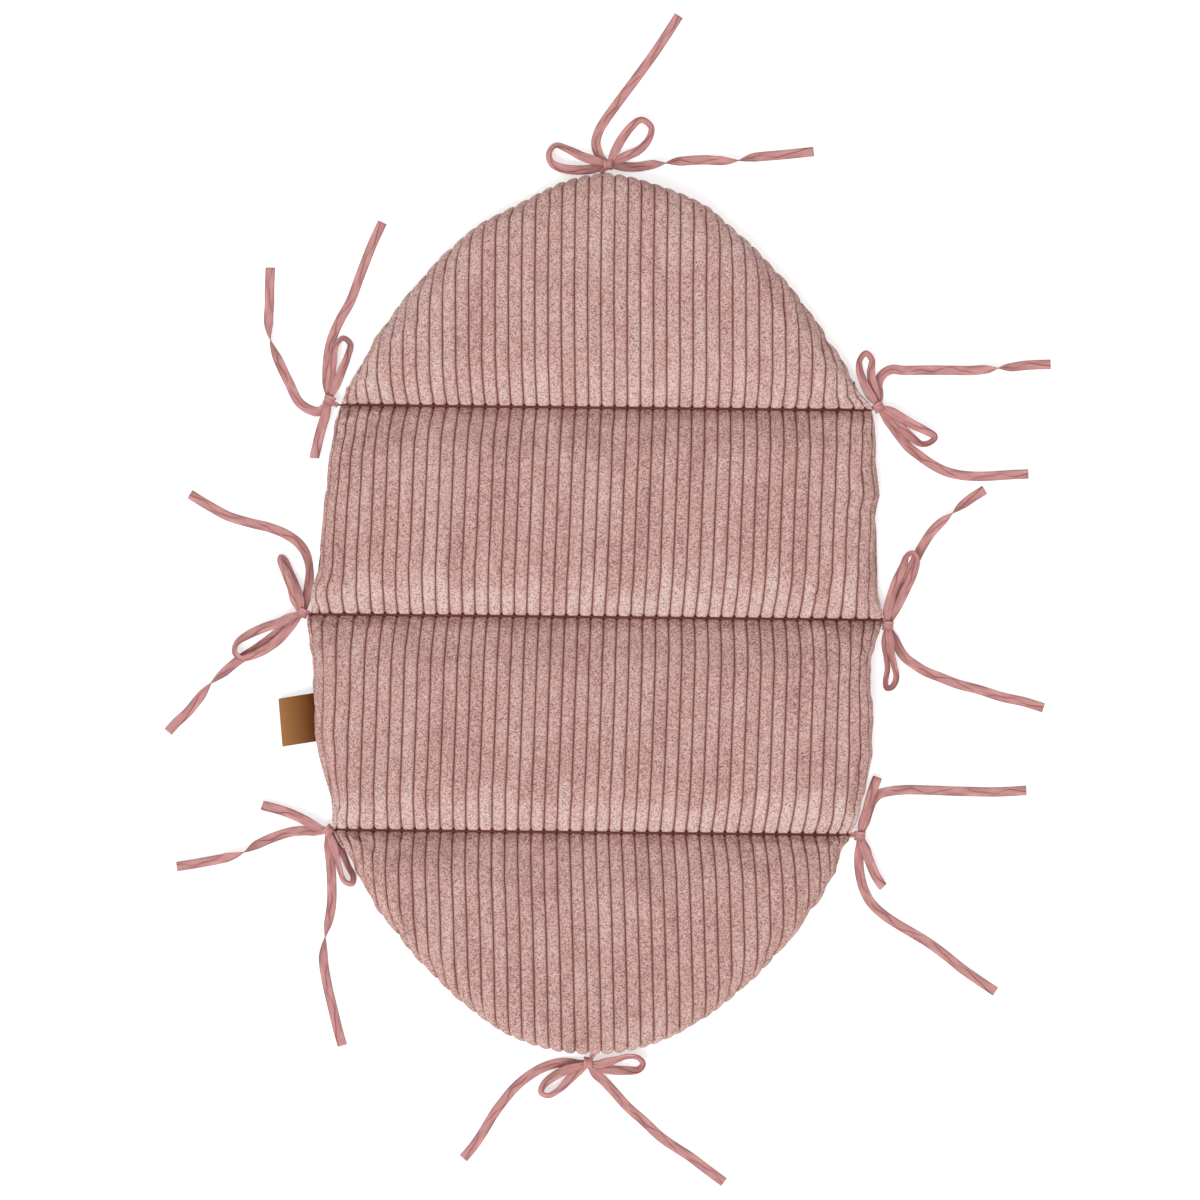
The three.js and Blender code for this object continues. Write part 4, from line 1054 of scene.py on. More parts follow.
class Panel:
    """One padded panel. s runs from its first seam, u across its cloth from the middle."""

    def __init__(self, name, seam_y, direction, length, half_at, flat=None, full=None, sway=0.0):
        self.name = name
        self.seam_y = seam_y
        self.direction = direction
        self.length = length
        self.plain_half_at = half_at
        self.flat = flat
        self.full = full
        self.sway = sway
        self.table = np.linspace(0, length, ROW_TABLE)
        self.cloth_table = self.cloth_line(self.table)
        self.middle_table = self.line_middle(self.table)
        self.widest = self.outer_line()

    @property
    def is_end(self):
        return self.flat is not None

    def along(self, tables, s):
        """A value in metres at s from this panel's table of millimetres at shares of its length."""
        places, values = zip(*tables[self.name])
        return np.interp(np.asarray(s) / self.length, places, values) * MM

    def half_at(self, s):
        trims = self.along(LEFT_TRIM, s) + self.along(RIGHT_TRIM, s)
        return np.maximum(self.plain_half_at(s) - trims / 2, 0)

    def middle_at(self, s):
        """Where the outline's middle lies at s, to the side of the pad's middle."""
        trims = self.along(LEFT_TRIM, s) - self.along(RIGHT_TRIM, s)
        return trims / 2 + self.sway * smooth_step(s / self.length, *SWAY_SPAN_SHARES)

    def left_half(self, s):
        """How far the left edge lies from the pad's middle."""
        return self.half_at(s) - self.middle_at(s)

    def lean(self, s):
        """1 where the outline runs along the panel, down to 0 where it runs across it."""
        step = 0.5 * MM
        slope = (self.half_at(s + step) - self.half_at(np.maximum(s - step, 0))) / (2 * step)
        return 1 / np.sqrt(1 + slope**2)

    def cloth_half(self, s):
        """Half of the cloth's width at s, with what rolls over the edge."""
        return self.half_at(s) + self.lean(s) * EDGE_ROUND * (math.pi / 2 - 1)

    def cloth_line(self, s):
        """Half the width that the cloth's lines are laid on: on a middle panel the plain one."""
        if self.is_end:
            return self.cloth_half(s)
        return self.plain_half_at(s) + EDGE_ROUND * (math.pi / 2 - 1)

    def line_middle(self, s):
        """The line of cloth that the others are counted from: on an end panel, where they run out
        at the outline, the one on the outline's middle."""
        if self.is_end:
            return self.middle_at(s) - self.along(DRIFT, s)
        return np.zeros_like(s)

    def outer_line(self):
        """The outermost line of cloth: on a middle panel the last one with a fair run."""
        reach = self.cloth_table - np.abs(self.middle_table)
        if self.is_end:
            return reach.max() - OUTERMOST_INSIDE
        return np.sort(reach)[::-1][int(SHORTEST_EDGE_RUN / self.length * ROW_TABLE)]

    def run(self, u):
        """Where the line of cloth at u starts and ends along the panel."""
        inside = self.table[self.cloth_table >= np.abs(u - self.middle_table)]
        if len(inside) == 0:
            nearest = (self.cloth_table - np.abs(u - self.middle_table)).argmax()
            inside = np.array([self.table[nearest]] * 2)
        start, end = inside[0], inside[-1]
        if end - start < MIN_RUN:
            end = min(start + MIN_RUN, self.length)
            start = end - MIN_RUN
        return start, end

    def from_middle(self, u, s):
        """How far from the outline's middle the cloth at u lies, let out or in to end on the
        edge."""
        base = self.line_middle(s)
        aside = 0 if self.is_end else self.middle_at(s)
        side = np.where(u < base, -1, 1)
        out = np.abs(u - base)
        line = np.minimum(np.abs(side * self.widest - base), self.cloth_line(s))
        full = self.cloth_half(s) + side * aside
        out = out + (full - line) * smooth_step(out, np.maximum(line - LET_OUT_WIDTH, 0), line)
        return side * out - aside

    def laid(self, v, s):
        """How far from the outline's middle, seen from above, the cloth at v lies before it is
        drawn in."""
        half = self.half_at(s)
        lean = self.lean(s)
        flat = np.maximum(half - EDGE_ROUND, 0)
        sewn = 1 - self.seam_rise(s)
        roll = half - flat + lean * EDGE_ROUND * (math.pi / 2 - 1)
        part = np.clip((np.abs(v) - flat) / np.maximum(roll, 1e-6), 0, 1)
        drawn = flat * (1 - SEAM_TAKE_IN * sewn)
        curved = (1 - lean) * part + lean * np.sin(part * math.pi / 2)
        curved = curved + (part - curved) * sewn
        x = np.minimum(np.abs(v), flat) * (1 - SEAM_TAKE_IN * sewn) + (half - drawn) * curved
        return np.sign(v) * x

    def across(self, u, s):
        """The place across the panel, from above, of the cloth at u."""
        v = self.from_middle(u, s)
        drawn_in = np.sign(v) * (self.pucker(v, s) + self.edge_waver(v, s))
        return self.middle_at(s) + self.laid(v, s) + self.drift(v, s) - drawn_in

    def drift(self, v, s):
        """How far a middle panel's wales wander sideways, down to nothing at its edges."""
        if self.is_end:
            return 0
        steady = 1 - np.clip(np.abs(v) / self.cloth_half(s), 0, 1) ** DRIFT_EDGE_POWER
        return self.along(DRIFT, s) * steady

    def from_edge(self, v, s):
        """How far inside the long edge the cloth at v from the middle lies."""
        return np.maximum(self.cloth_half(s) - np.abs(v), 0)

    def edge_waver(self, v, s):
        """How far the sewn edge wavers in and out, on either side in its own way."""
        outer = np.clip(np.abs(v) / self.cloth_half(s), 0, 1) ** EDGE_WAVER_POWER
        phase = np.where(v > 0, *EDGE_WAVER_STARTS) + len(self.name) + self.seam_y / MM
        turns = s / EDGE_WAVER_LENGTH
        share, rate = SECOND_WAVE
        wave = np.sin(turns + phase) + share * np.sin(rate * turns + 2 * phase)
        return EDGE_WAVER * outer * wave * self.seam_rise(s)

    def puckers(self, v):
        """Each fold in the edge: its place along the panel, and its depth on its own side."""
        for side, place, depth in PUCKERS[self.name]:
            yield place * MM, np.where(np.sign(v) == side, depth * MM, 0)

    def pucker(self, v, s):
        """How far the edge is drawn in where it folds."""
        total = np.zeros_like(s)
        for place, depth in self.puckers(v):
            near = np.exp(-(((s - place) / PUCKER_SPREAD) ** 2))
            total += depth * near * np.exp(-self.from_edge(v, s) / PUCKER_REACH)
        return total

    def crease(self, v, s):
        """The depth of the short creases that run in from the puckers."""
        total = np.zeros_like(s)
        inward = self.from_edge(v, s)
        for place, depth in self.puckers(v):
            line = (s - place - CREASE_SLANT * inward) / CREASE_WIDTH
            fading = np.exp(-((inward / CREASE_REACH) ** 2))
            total += depth * CREASE_SHARE * np.exp(-(line**2)) * fading
        return total

    def seam_distances(self, s):
        """Distances to the sewn ends."""
        return [s] if self.is_end else [s, self.length - s]

    def from_seam(self, s):
        return np.minimum.reduce(self.seam_distances(s))

    def seam_rise(self, s, width=SEAM_SHOULDER, roundness=SEAM_ROUNDNESS):
        """1 away from the seams, down to 0 at them."""
        rise = 1
        for distance in self.seam_distances(s):
            rise = rise * shoulder(distance - SEAM_CLEAR, width, roundness)
        return rise

    def edge_distance(self, x, s):
        """How far a place x from the outline's middle is from the outline."""
        across = np.maximum(self.half_at(s) - np.abs(x), 0)
        if not self.is_end:
            return across
        untrimmed = np.abs(x) * self.plain_half_at(s) / np.maximum(self.half_at(s), MM)
        share = np.clip(untrimmed / self.plain_half_at(0), 0, 1)
        tip = self.length * (1 - share ** (1 / self.full)) ** (1 / self.flat)
        along = np.maximum(tip - s, 0)
        return across * along / np.maximum(np.hypot(across, along), 1e-9)

    def rise(self, x, s):
        """The height of the padding above the lip, before the wales are cut into it."""
        edge = self.edge_distance(x, s)
        inward = np.minimum(edge, self.from_seam(s))
        doming = MIDDLE_DOMING * np.sin(np.clip(inward / DOMING_REACH, 0, 1) * math.pi / 2)
        full = CROWN_RISE - LIP - MIDDLE_DOMING + doming
        return full * shoulder(edge, EDGE_ROUND, 2) * self.seam_rise(s)


def end_panel(name, seam_y, tip_y, half, flat, full, sway):
    """A panel that runs out in a tip. Its half width is half * (1 - share ** flat) ** full at
    each share of its length."""
    length = abs(tip_y - seam_y)

    def half_at(s):
        return half * (1 - np.clip(s / length, 0, 1) ** flat) ** full

    direction = 1 if tip_y > seam_y else -1
    return Panel(name, seam_y, direction, length, half_at, flat, full, sway)


def middle_panel(name, start_y, end_y, start_half, end_half, swell, sharpness):
    """A panel between two seams: straight from the one to the other, with a swell on top."""
    length = start_y - end_y

    def half_at(s):
        left = 1 - np.asarray(s) / length
        return end_half + (start_half - end_half) * left + swell * (left - left**sharpness)

    return Panel(name, start_y, -1, length, half_at)


def pad_panels():
    head = (HEAD_SEAM_Y, HEAD_TIP_Y, HEAD_SEAM_HALF, HEAD_FLAT, HEAD_FULL, HEAD_SWAY)
    upper = (HEAD_SEAM_Y, MIDDLE_SEAM_Y, HEAD_SEAM_HALF, MIDDLE_SEAM_HALF)
    lower = (MIDDLE_SEAM_Y, FOOT_SEAM_Y, MIDDLE_SEAM_HALF, FOOT_SEAM_HALF)
    foot = (FOOT_SEAM_Y, FOOT_TIP_Y, FOOT_SEAM_HALF, FOOT_FLAT, FOOT_FULL, FOOT_SWAY)
    return [
        end_panel("head", *head),
        middle_panel("upper", *upper, UPPER_SWELL, UPPER_SHARPNESS),
        middle_panel("lower", *lower, LOWER_SWELL, LOWER_SHARPNESS),
        end_panel("foot", *foot),
    ]


def wale_columns(panel):
    """The lines of points across the panel, twelve to a wale."""
    columns = [panel.widest]
    for wale in range(int(panel.widest / WALE_PITCH) + 1):
        for share in WALE_SHARES:
            u = (wale + share) * WALE_PITCH
            if u < panel.widest - NARROWEST_COLUMN:
                columns.append(u)
    right = sorted(columns)
    left = [-u for u in reversed(right) if u > 0]
    return np.array(left + right)


def row_offsets(run):
    """Rows from one end of a run to the other, drawn together on a short run."""
    ends = np.array(END_ROWS)
    ends = ends * min(1, run / (2 * ends[-1] + MIDDLE_ROWS * MIDDLE_ROW_GAP))
    middle_rows = np.linspace(ends[-1], run - ends[-1], MIDDLE_ROWS + 2)[1:-1]
    return np.concatenate([ends, middle_rows, run - ends[::-1]])


def grid_places(panel, columns):
    """Cloth place u, s of every point of the panel's grid."""
    clear = SEAM_CLEAR / 2
    s_rows = []
    for u in columns:
        start, end = panel.run(u)
        start = max(start, clear)
        if not panel.is_end:
            end = min(end, panel.length - clear)
        s_rows.append(start + row_offsets(max(end - start, MIN_RUN)))
    s = np.array(s_rows)
    return np.repeat(columns[:, None], s.shape[1], axis=1), s


def grid_normals(points):
    normals = np.cross(np.gradient(points, axis=0), np.gradient(points, axis=1))
    normals /= np.maximum(np.linalg.norm(normals, axis=2, keepdims=True), 1e-12)
    facing_up = np.sign(normals[normals.shape[0] // 2, normals.shape[1] // 2, 2])
    return normals * facing_up


def grid_faces(index):
    """The faces between a grid of numbered points."""
    corners = (index[:-1, :-1], index[1:, :-1], index[1:, 1:], index[:-1, 1:])
    return np.stack(corners, axis=-1).reshape(-1, 4).tolist()


def unevenness(points, scale, seed):
    """A smooth even noise from -1 to 1 at each point."""
    offset = Vector((seed * 7.3, seed * 3.1, seed * 1.7))
    values = [noise.noise(Vector(p) * (1 / scale) + offset) for p in points.reshape(-1, 3)]
    return np.array(values).reshape(points.shape[:2])


def close_grid(panel, points, s, inset, floor_z):
    """Points and faces of a closed cover: the grid, its flat floor drawn in by an inset, and the
    sides between them."""
    nu, nv = points.shape[:2]
    aside = PAD_X + panel.middle_at(s)
    floor = np.full_like(points, floor_z)
    floor[..., 0] = aside + (points[..., 0] - aside) * (1 - inset / panel.half_at(0))
    drawn_in = inset / panel.length if panel.is_end else 0
    floor[..., 1] = panel.seam_y + (points[..., 1] - panel.seam_y) * (1 - drawn_in)
    upper = np.arange(nu * nv).reshape(nu, nv)
    lower = upper + nu * nv
    faces = grid_faces(upper) + [face[::-1] for face in grid_faces(lower)]
    border = [(i, 0) for i in range(nu)]
    border += [(nu - 1, j) for j in range(1, nv)]
    border += [(i, nv - 1) for i in range(nu - 2, -1, -1)]
    border += [(0, j) for j in range(nv - 2, 0, -1)]
    for a, b in zip(border, border[1:] + border[:1]):
        faces.append((upper[b], upper[a], lower[a], lower[b]))
    return np.vstack([points.reshape(-1, 3), floor.reshape(-1, 3)]), faces


# The cloth simulation: the grid over each panel, the air that swells it and how far it may move
SWELL_COLUMNS, SWELL_ROWS = 57, 31
SWELL_FRAMES = 20
SWELL_PRESSURE = 4.0
SWELL_LOOSENESS = 0.012
SWELL_MOST = 2.2 * MM


def simulated(points):
    """A grid of cloth after it has swollen with its border held."""
    nu, nv = points.shape[:2]
    index = np.arange(nu * nv).reshape(nu, nv)
    cloth = mesh_piece("swelling_cloth", points.reshape(-1, 3), grid_faces(index))
    if grid_faces_down(points):
        cloth.data.flip_normals()
    border = np.concatenate([index[0], index[-1], index[:, 0], index[:, -1]])
    cloth.vertex_groups.new(name="sewn").add(border.tolist(), 1, "ADD")
    modifier = cloth.modifiers.new("swell", "CLOTH")
    settings = modifier.settings
    settings.quality = 7
    settings.mass = 0.15
    settings.tension_stiffness = 20
    settings.compression_stiffness = 20
    settings.shear_stiffness = 8
    settings.bending_stiffness = 0.5
    settings.shrink_min = -SWELL_LOOSENESS
    settings.use_pressure = True
    settings.uniform_pressure_force = SWELL_PRESSURE
    settings.vertex_group_mass = "sewn"
    settings.effector_weights.gravity = 0
    modifier.point_cache.frame_start = 1
    modifier.point_cache.frame_end = SWELL_FRAMES
    scene = bpy.context.scene
    for moment in range(1, SWELL_FRAMES + 1):
        scene.frame_set(moment)
    apply_modifiers(cloth)
    swollen = coordinates(cloth).reshape(nu, nv, 3)
    bpy.data.objects.remove(cloth)
    scene.frame_set(1)
    return swollen


def grid_faces_down(points):
    i, j = points.shape[0] // 2, points.shape[1] // 2
    along_u = points[i + 1, j] - points[i, j]
    along_v = points[i, j + 1] - points[i, j]
    return np.cross(along_u, along_v)[2] < 0


def between(grid, across, along):
    """Values between a grid's points."""
    i = np.clip(np.floor(across).astype(int), 0, grid.shape[0] - 2)
    j = np.clip(np.floor(along).astype(int), 0, grid.shape[1] - 2)
    a = smooth_step(across - i)[..., None]
    b = smooth_step(along - j)[..., None]
    near = grid[i, j] * (1 - b) + grid[i, j + 1] * b
    far = grid[i + 1, j] * (1 - b) + grid[i + 1, j + 1] * b
    return near * (1 - a) + far * a


def swelling(panel, u, s):
    """The shift of each point of the top cloth as it swells over its wadding, sewn fast all
    round."""
    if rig.quick():
        return np.zeros((*u.shape, 3))
    columns = np.linspace(-1, 1, SWELL_COLUMNS)
    rows = np.linspace(0, 1, SWELL_ROWS)
    runs = np.array([panel.run(a * panel.widest) for a in columns])
    grid_u = np.repeat(columns[:, None] * panel.widest, SWELL_ROWS, axis=1)
    grid_s = runs[:, :1] + (runs[:, 1:] - runs[:, :1]) * rows
    before, _ = cloth_surface(panel, grid_u, grid_s)
    shift = simulated(before) - before
    reach = np.linalg.norm(shift, axis=2, keepdims=True)
    shift *= np.minimum(1, SWELL_MOST / np.maximum(reach, 1e-9))
    starts, ends = np.array([panel.run(a) for a in u[:, 0]]).T
    across = (u / panel.widest + 1) / 2 * (SWELL_COLUMNS - 1)
    along = np.clip((s - starts[:, None]) / (ends - starts)[:, None], 0, 1) * (SWELL_ROWS - 1)
    return between(shift, across, along)


def cloth_surface(panel, u, s):
    """The top cloth as it is laid over the wadding, before its wales are cut in, and its rise."""
    rise = panel.rise(panel.laid(panel.from_middle(u, s), s), s)
    x = PAD_X + panel.across(u, s)
    y = panel.seam_y + panel.direction * s
    return np.stack([x, y, SEAM_Z + LIP + rise], axis=2), rise


# The grooves between the wales, and the dark that lies in them, with painted shade in their notches
# at a seam and along the seam itself
GROOVE_DEPTH = 2.3 * MM
GROOVE_HALF = 2.5 * MM
GROOVE_SHARPNESS = 2.4
CREST_ROUND = 0.45 * MM
GROOVE_DARK_HALF = 1.25 * MM
GROOVE_DARK_SHARPNESS = 1.3
NOTCH_SHADE_HALF = 0.4 * MM
NOTCH_FAINTEST = 0.02
SEAM_LINE_HALF = 0.55 * MM
SEAM_LINE_SHADE = 1.5
# The wales end round at a seam, where the grooves are deeper, and cut no deeper than the padding
WALE_END_RADIUS = 1.5 * MM
END_DEPTH = 1.2 * MM
END_DEPTH_REACH = 9 * MM
RELIEF_LIMIT = 0.92
# From where to where inside a long edge the grooves set in
EDGE_GROOVES_SPAN = (0.5 * MM, 4 * MM)
# The wales' ends stand out in scallops where the edge runs across them, below this rise
SCALLOP_DEPTH = 1.6 * MM
SCALLOP_RISE = 11 * MM
# The lumps in the padding, large and small: the size, the height and the seed of each
LUMPS = ((45 * MM, 0.6 * MM, 1), (9 * MM, 0.16 * MM, 2))
LUMPS_RISE = 8 * MM
# The painted light at a panel's foot side, with the least share of its reach and the spread from
# wale to wale, and the painted shade at its head side
PAINTED_LIGHT_REACH = 30 * MM
PAINTED_LIGHT_REACH_SHARES = (0.65, 0.7)
PAINTED_LIGHT_SPAN_SHARES = (0.45, 1.25)
PAINTED_SHADE_SPAN = (1 * MM, 12 * MM)
WALE_TONE = 0.18
CHANCE_BY_WALE, CHANCE_BY_PANEL, CHANCE_SCATTER = 12.9898, 78.233, 43758.5453
# Painted highlight on the low wale ends where the edge runs across them
WALE_END_PAINTED_LIGHT = 0.35
# How light the pile lies on each panel, and how much painted light its foot side takes
PANEL_TONE = {"head": 0.2, "upper": 0.03, "lower": 0, "foot": 0.03}
PANEL_PAINTED_LIGHT = {"head": 0.4, "upper": 0.8, "lower": 0.8, "foot": 0}
# How far the covers' floors are drawn in under their edges, and how far each lies from the seams'
# height
TOP_INSET = 0.1 * MM
EDGE_TURN_IN = 2.6 * MM
TURN_IN_SPAN = (1 * MM, 9 * MM)
FLOOR_GAP = 0.1 * MM


def at_wale_ends(panel, s, rise):
    """1 at the low end of a wale that the edge runs across, down to 0 higher up and along it."""
    return (1 - panel.lean(s) ** 2) * np.clip(1 - rise / SCALLOP_RISE, 0, 1)


def wale_depth(panel, u, s, rise):
    """How deep the grooves go in at each point, and how dark they are there, with painted shade in their notches at a
    seam and along the seam.
    """
    across = np.abs(u - np.round(u / WALE_PITCH) * WALE_PITCH)
    along = np.maximum(panel.from_seam(s) - SEAM_CLEAR, 0)
    radius = WALE_END_RADIUS
    corner = radius - np.hypot(radius - across, radius - along)
    in_corner = (across < radius) & (along < radius)
    inward = np.clip(np.where(in_corner, corner, across), 0, None)
    share = (1 - np.clip(inward / GROOVE_HALF, 0, 1)) ** GROOVE_SHARPNESS
    depth = GROOVE_DEPTH + END_DEPTH * (1 - smooth_step(along, 0, END_DEPTH_REACH))
    roundness = CREST_ROUND + SCALLOP_DEPTH * at_wale_ends(panel, s, rise)
    depth = depth * share + roundness * (1 - 2 * across / WALE_PITCH) ** 2
    dark = (1 - np.clip(inward / GROOVE_DARK_HALF, 0, 1)) ** GROOVE_DARK_SHARPNESS
    from_edge = panel.from_edge(panel.from_middle(u, s), s)
    near_edge = panel.lean(s) ** 4 * (1 - smooth_step(from_edge, *EDGE_GROOVES_SPAN))
    depth = depth * (1 - near_edge)
    dark = dark * (1 - near_edge)
    # Painted shade in the notches where the wales end at a seam, and a line of painted shade along the seam
    notch_shade = np.where(in_corner, (1 - np.clip(inward / NOTCH_SHADE_HALF, 0, 1)), 0)
    notch_shade = notch_shade * (1 - smooth_step(along, 0.5 * radius, radius))
    line = 1 - smooth_step(along, 0, SEAM_LINE_HALF)
    dark = np.maximum.reduce([dark, notch_shade + (notch_shade > NOTCH_FAINTEST), SEAM_LINE_SHADE * line])
    return np.where(along < radius, np.minimum(depth, RELIEF_LIMIT * rise), depth), dark


def wale_chance(panel, u):
    """An even chance from 0 to 1 for each wale of each panel, the same in every run."""
    wale, place = np.floor(u / WALE_PITCH), panel.seam_y
    number = wale * CHANCE_BY_WALE + place * CHANCE_BY_PANEL
    return np.modf(np.abs(np.sin(number)) * CHANCE_SCATTER)[0]


def pile_tone_and_painted_light_at(panel, u, s):
    """How light or dark the pile lies, with painted light at a panel's foot side and painted shade at its head side.
    """
    sides = (panel.length - s, s) if panel.direction < 0 else (s, panel.length - s)
    foot_side, head_side = sides
    chance = wale_chance(panel, u)
    least, spread = PAINTED_LIGHT_REACH_SHARES
    # Painted light near the panel's foot side
    reach = PAINTED_LIGHT_REACH * (least + spread * chance)
    light = 1 - smooth_step(foot_side / reach, *PAINTED_LIGHT_SPAN_SHARES)
    light = PANEL_PAINTED_LIGHT[panel.name] * light
    # Painted shade near the panel's head side
    dark = (1 - smooth_step(head_side, *PAINTED_SHADE_SPAN)) if panel.name != "head" else 0
    return PANEL_TONE[panel.name] + light - dark + WALE_TONE * (chance - 0.5)


def build_panel_top(panel):
    u, s = grid_places(panel, wale_columns(panel))
    points, rise = cloth_surface(panel, u, s)
    points = points + swelling(panel, u, s)
    normals = grid_normals(points)
    depth, dark = wale_depth(panel, u, s, rise)
    lumps = sum(unevenness(points, size, seed) * height for size, height, seed in LUMPS)
    lumps = lumps - panel.crease(panel.from_middle(u, s), s)
    lumps = lumps * np.clip(rise / LUMPS_RISE, 0, 1)
    points = points + normals * (lumps - depth)[..., None]
    points[..., 2] = np.maximum(points[..., 2], SEAM_Z + LIP)
    inset = TOP_INSET + EDGE_TURN_IN * smooth_step(panel.from_seam(s), *TURN_IN_SPAN)
    all_points, faces = close_grid(panel, points, s, inset, SEAM_Z + FLOOR_GAP)
    piece = mesh_piece(f"{panel.name}_panel_top", all_points, faces)
    # The pile's tone with painted light and shade, and a painted highlight on the low wale ends
    nap = pile_tone_and_painted_light_at(panel, u, s) + WALE_END_PAINTED_LIGHT * at_wale_ends(panel, s, rise)
    on_floor = np.ones(s.size)
    set_attribute(piece, "groove", np.concatenate([dark.ravel(), on_floor]))
    set_attribute(piece, "nap", np.concatenate([nap.ravel(), -on_floor]))
    point_normals_out(piece)
    shade_by_angle(piece)
    piece.data.materials.append(CORDUROY)
    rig.ride(piece, f"{panel.name}_panel")
    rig.slot(piece, "corduroy")
    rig.replaces(piece, f"{panel.name}_corduroy_cover", f"{panel.name}_wadding")
    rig.padded(piece, fill=0.7)


# The back cloth: how its grid is spread, how far it lies inside the top and how its edges round
BACK_FLAT_COLUMNS, BACK_SIDE_COLUMNS = 16, 14
BACK_SIDE_WIDTH = 45 * MM
BACK_INSET = 2.6 * MM
BACK_FLOOR_INSET = 0.3 * MM
BACK_EDGE_ROUND = 12 * MM
BACK_SEAM_SHOULDER = 15 * MM
# Low enough that two panels can fold back to back by 75 degrees
BACK_SEAM_ROUNDNESS = 1.3
BACK_PUCKER_SIZE = 14 * MM
BACK_PUCKER_HEIGHT = 0.5 * MM
BACK_PUCKER_SPAN = (3 * MM, 9 * MM)
BACK_OFF_FLOOR = 0.02 * MM


def back_columns(panel):
    flat = panel.widest - BACK_SIDE_WIDTH
    turn = np.linspace(0, math.pi / 2, BACK_SIDE_COLUMNS)[1:]
    side = flat + (panel.widest - flat) * np.sin(turn)
    right = np.concatenate([np.linspace(0, flat, BACK_FLAT_COLUMNS), side])
    return np.concatenate([-right[:0:-1], right])


def build_panel_back(panel):
    u, s = grid_places(panel, back_columns(panel))
    aside = panel.middle_at(s)
    x = panel.across(u, s) - aside
    edge = shoulder(panel.edge_distance(x, s), BACK_EDGE_ROUND, 2)
    edge = edge * panel.seam_rise(s, BACK_SEAM_SHOULDER, BACK_SEAM_ROUNDNESS)
    x = aside + x * (1 - BACK_INSET / panel.half_at(0))
    y = panel.seam_y + panel.direction * s * (1 - BACK_INSET / panel.length * panel.is_end)
    z = SEAM_Z - (LIP + (SEAM_Z - LIP) * edge)
    points = np.stack([PAD_X + x, y, z], axis=2)
    puckers = unevenness(points, BACK_PUCKER_SIZE, 3) * BACK_PUCKER_HEIGHT
    puckers = puckers * np.clip(1 - edge, 0, 1)
    puckers = puckers * smooth_step(panel.from_seam(s), *BACK_PUCKER_SPAN)
    points[..., 2] = np.clip(z + puckers, BACK_OFF_FLOOR, SEAM_Z - LIP)
    floor_z = SEAM_Z - FLOOR_GAP
    all_points, faces = close_grid(panel, points, s, BACK_FLOOR_INSET, floor_z)
    piece = mesh_piece(f"{panel.name}_panel_back", all_points, faces)
    point_normals_out(piece)
    shade_smooth(piece)
    piece.data.materials.append(BACK_CLOTH)
    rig.ride(piece, f"{panel.name}_panel")
    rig.slot(piece, "back_cloth")
    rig.replaces(piece, f"{panel.name}_back_cover")
    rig.padded(piece, fill=0.5)


# The ties' knots and sewn roots

WRAP_RADIUS = 5.1 * MM
WRAP_LENGTH = 8.2 * MM
WRAP_POINTS = 28
WRAP_RIM = 0.9 * MM
WRAP_HOLLOW = 0.7 * MM
WRAP_FLATNESS = 0.86
# The wrap's rings: each one's place along it in millimetres and its slope, and its size, which
# makes a crease or a swell
WRAP_RINGS = (
    (-2.9, 0, 0.99), (-1.7, 0.12, 1.0), (-0.9, 0.16, 0.9), (-0.1, 0.16, 1.0), (1.3, -0.1, 0.95),
    (2.3, -0.1, 1.02),
)
ROOT_WIDTH = 5 * MM
ROOT_THICKNESS = 1.7 * MM
# How far the root strip reaches into the pad, and how far under the top cloth it starts
ROOT_INSIDE = 1.5 * MM
ROOT_BELOW = 1.2 * MM
# The strip's rings, at shares of its half length, with how narrow it is gathered there, and its
# folds, at shares of its half width, with their lift in millimetres
ROOT_RINGS = ((-0.6, 0.95), (-0.1, 0.85), (0.4, 0.72), (0.8, 0.62))
ROOT_FOLDS = ((-0.5, 0.35), (-0.1, -0.55), (0.35, 0.3))


def select_end(piece, side):
    """Selects the faces at one end of a piece along X, in edit mode."""
    bpy.ops.object.mode_set(mode="OBJECT")
    for part in (*piece.data.vertices, *piece.data.edges):
        part.select = False
    for face in piece.data.polygons:
        face.select = face.normal.x * side > 0.9
    bpy.ops.object.mode_set(mode="EDIT")


def model_wrap():
    """The tape wound round a bow's crossing, along X at the origin: a flattened ring of full tape
    width, with rolled rims, hollow ends and two creases."""
    bpy.ops.mesh.primitive_cylinder_add(
        vertices=WRAP_POINTS, radius=WRAP_RADIUS, depth=WRAP_LENGTH, rotation=(0, math.pi / 2, 0)
    )
    wrap = added("tape_wrap")
    bpy.ops.object.mode_set(mode="EDIT")
    bpy.ops.mesh.select_mode(type="FACE")
    for side in (-1, 1):
        select_end(wrap, side)
        for depth in (WRAP_HOLLOW, WRAP_HOLLOW / 2):
            bpy.ops.mesh.inset(thickness=WRAP_RIM)
            bpy.ops.transform.translate(value=(-side * depth, 0, 0))
    for place, slope, size in WRAP_RINGS:
        cut_ring((place * MM, 0, 0), (1, slope, 0))
        bpy.ops.transform.resize(value=(1, size, size))
    bpy.ops.object.mode_set(mode="OBJECT")
    wrap.scale = (1, 1, WRAP_FLATNESS)
    apply_place(wrap)
    round_off(wrap)
    point_normals_out(wrap)
    shade_smooth(wrap)
    co = coordinates(wrap)
    around = np.arctan2(co[:, 2], co[:, 1]) * WRAP_RADIUS
    set_attribute(wrap, "along", around / MM)
    set_attribute(wrap, "across", co[:, 0] / MM)
    wrap.data.materials.append(TAPE)
    return wrap


def bow_axis(routes):
    """The way from where a bow's first leg leaves the knot to where its second leg does."""
    heart = Vector(routes["knot"])
    ways = {}
    for leg in "ab":
        loop, tail = routes[f"loop_{leg}"], routes[f"tail_{leg}"]
        out = Vector((0, 0))
        for point in (loop[1], tail[1], loop[-2]):
            out += (Vector(point[:2]) - heart).normalized()
        ways[leg] = out.normalized()
    return (ways["b"] - ways["a"]).normalized()


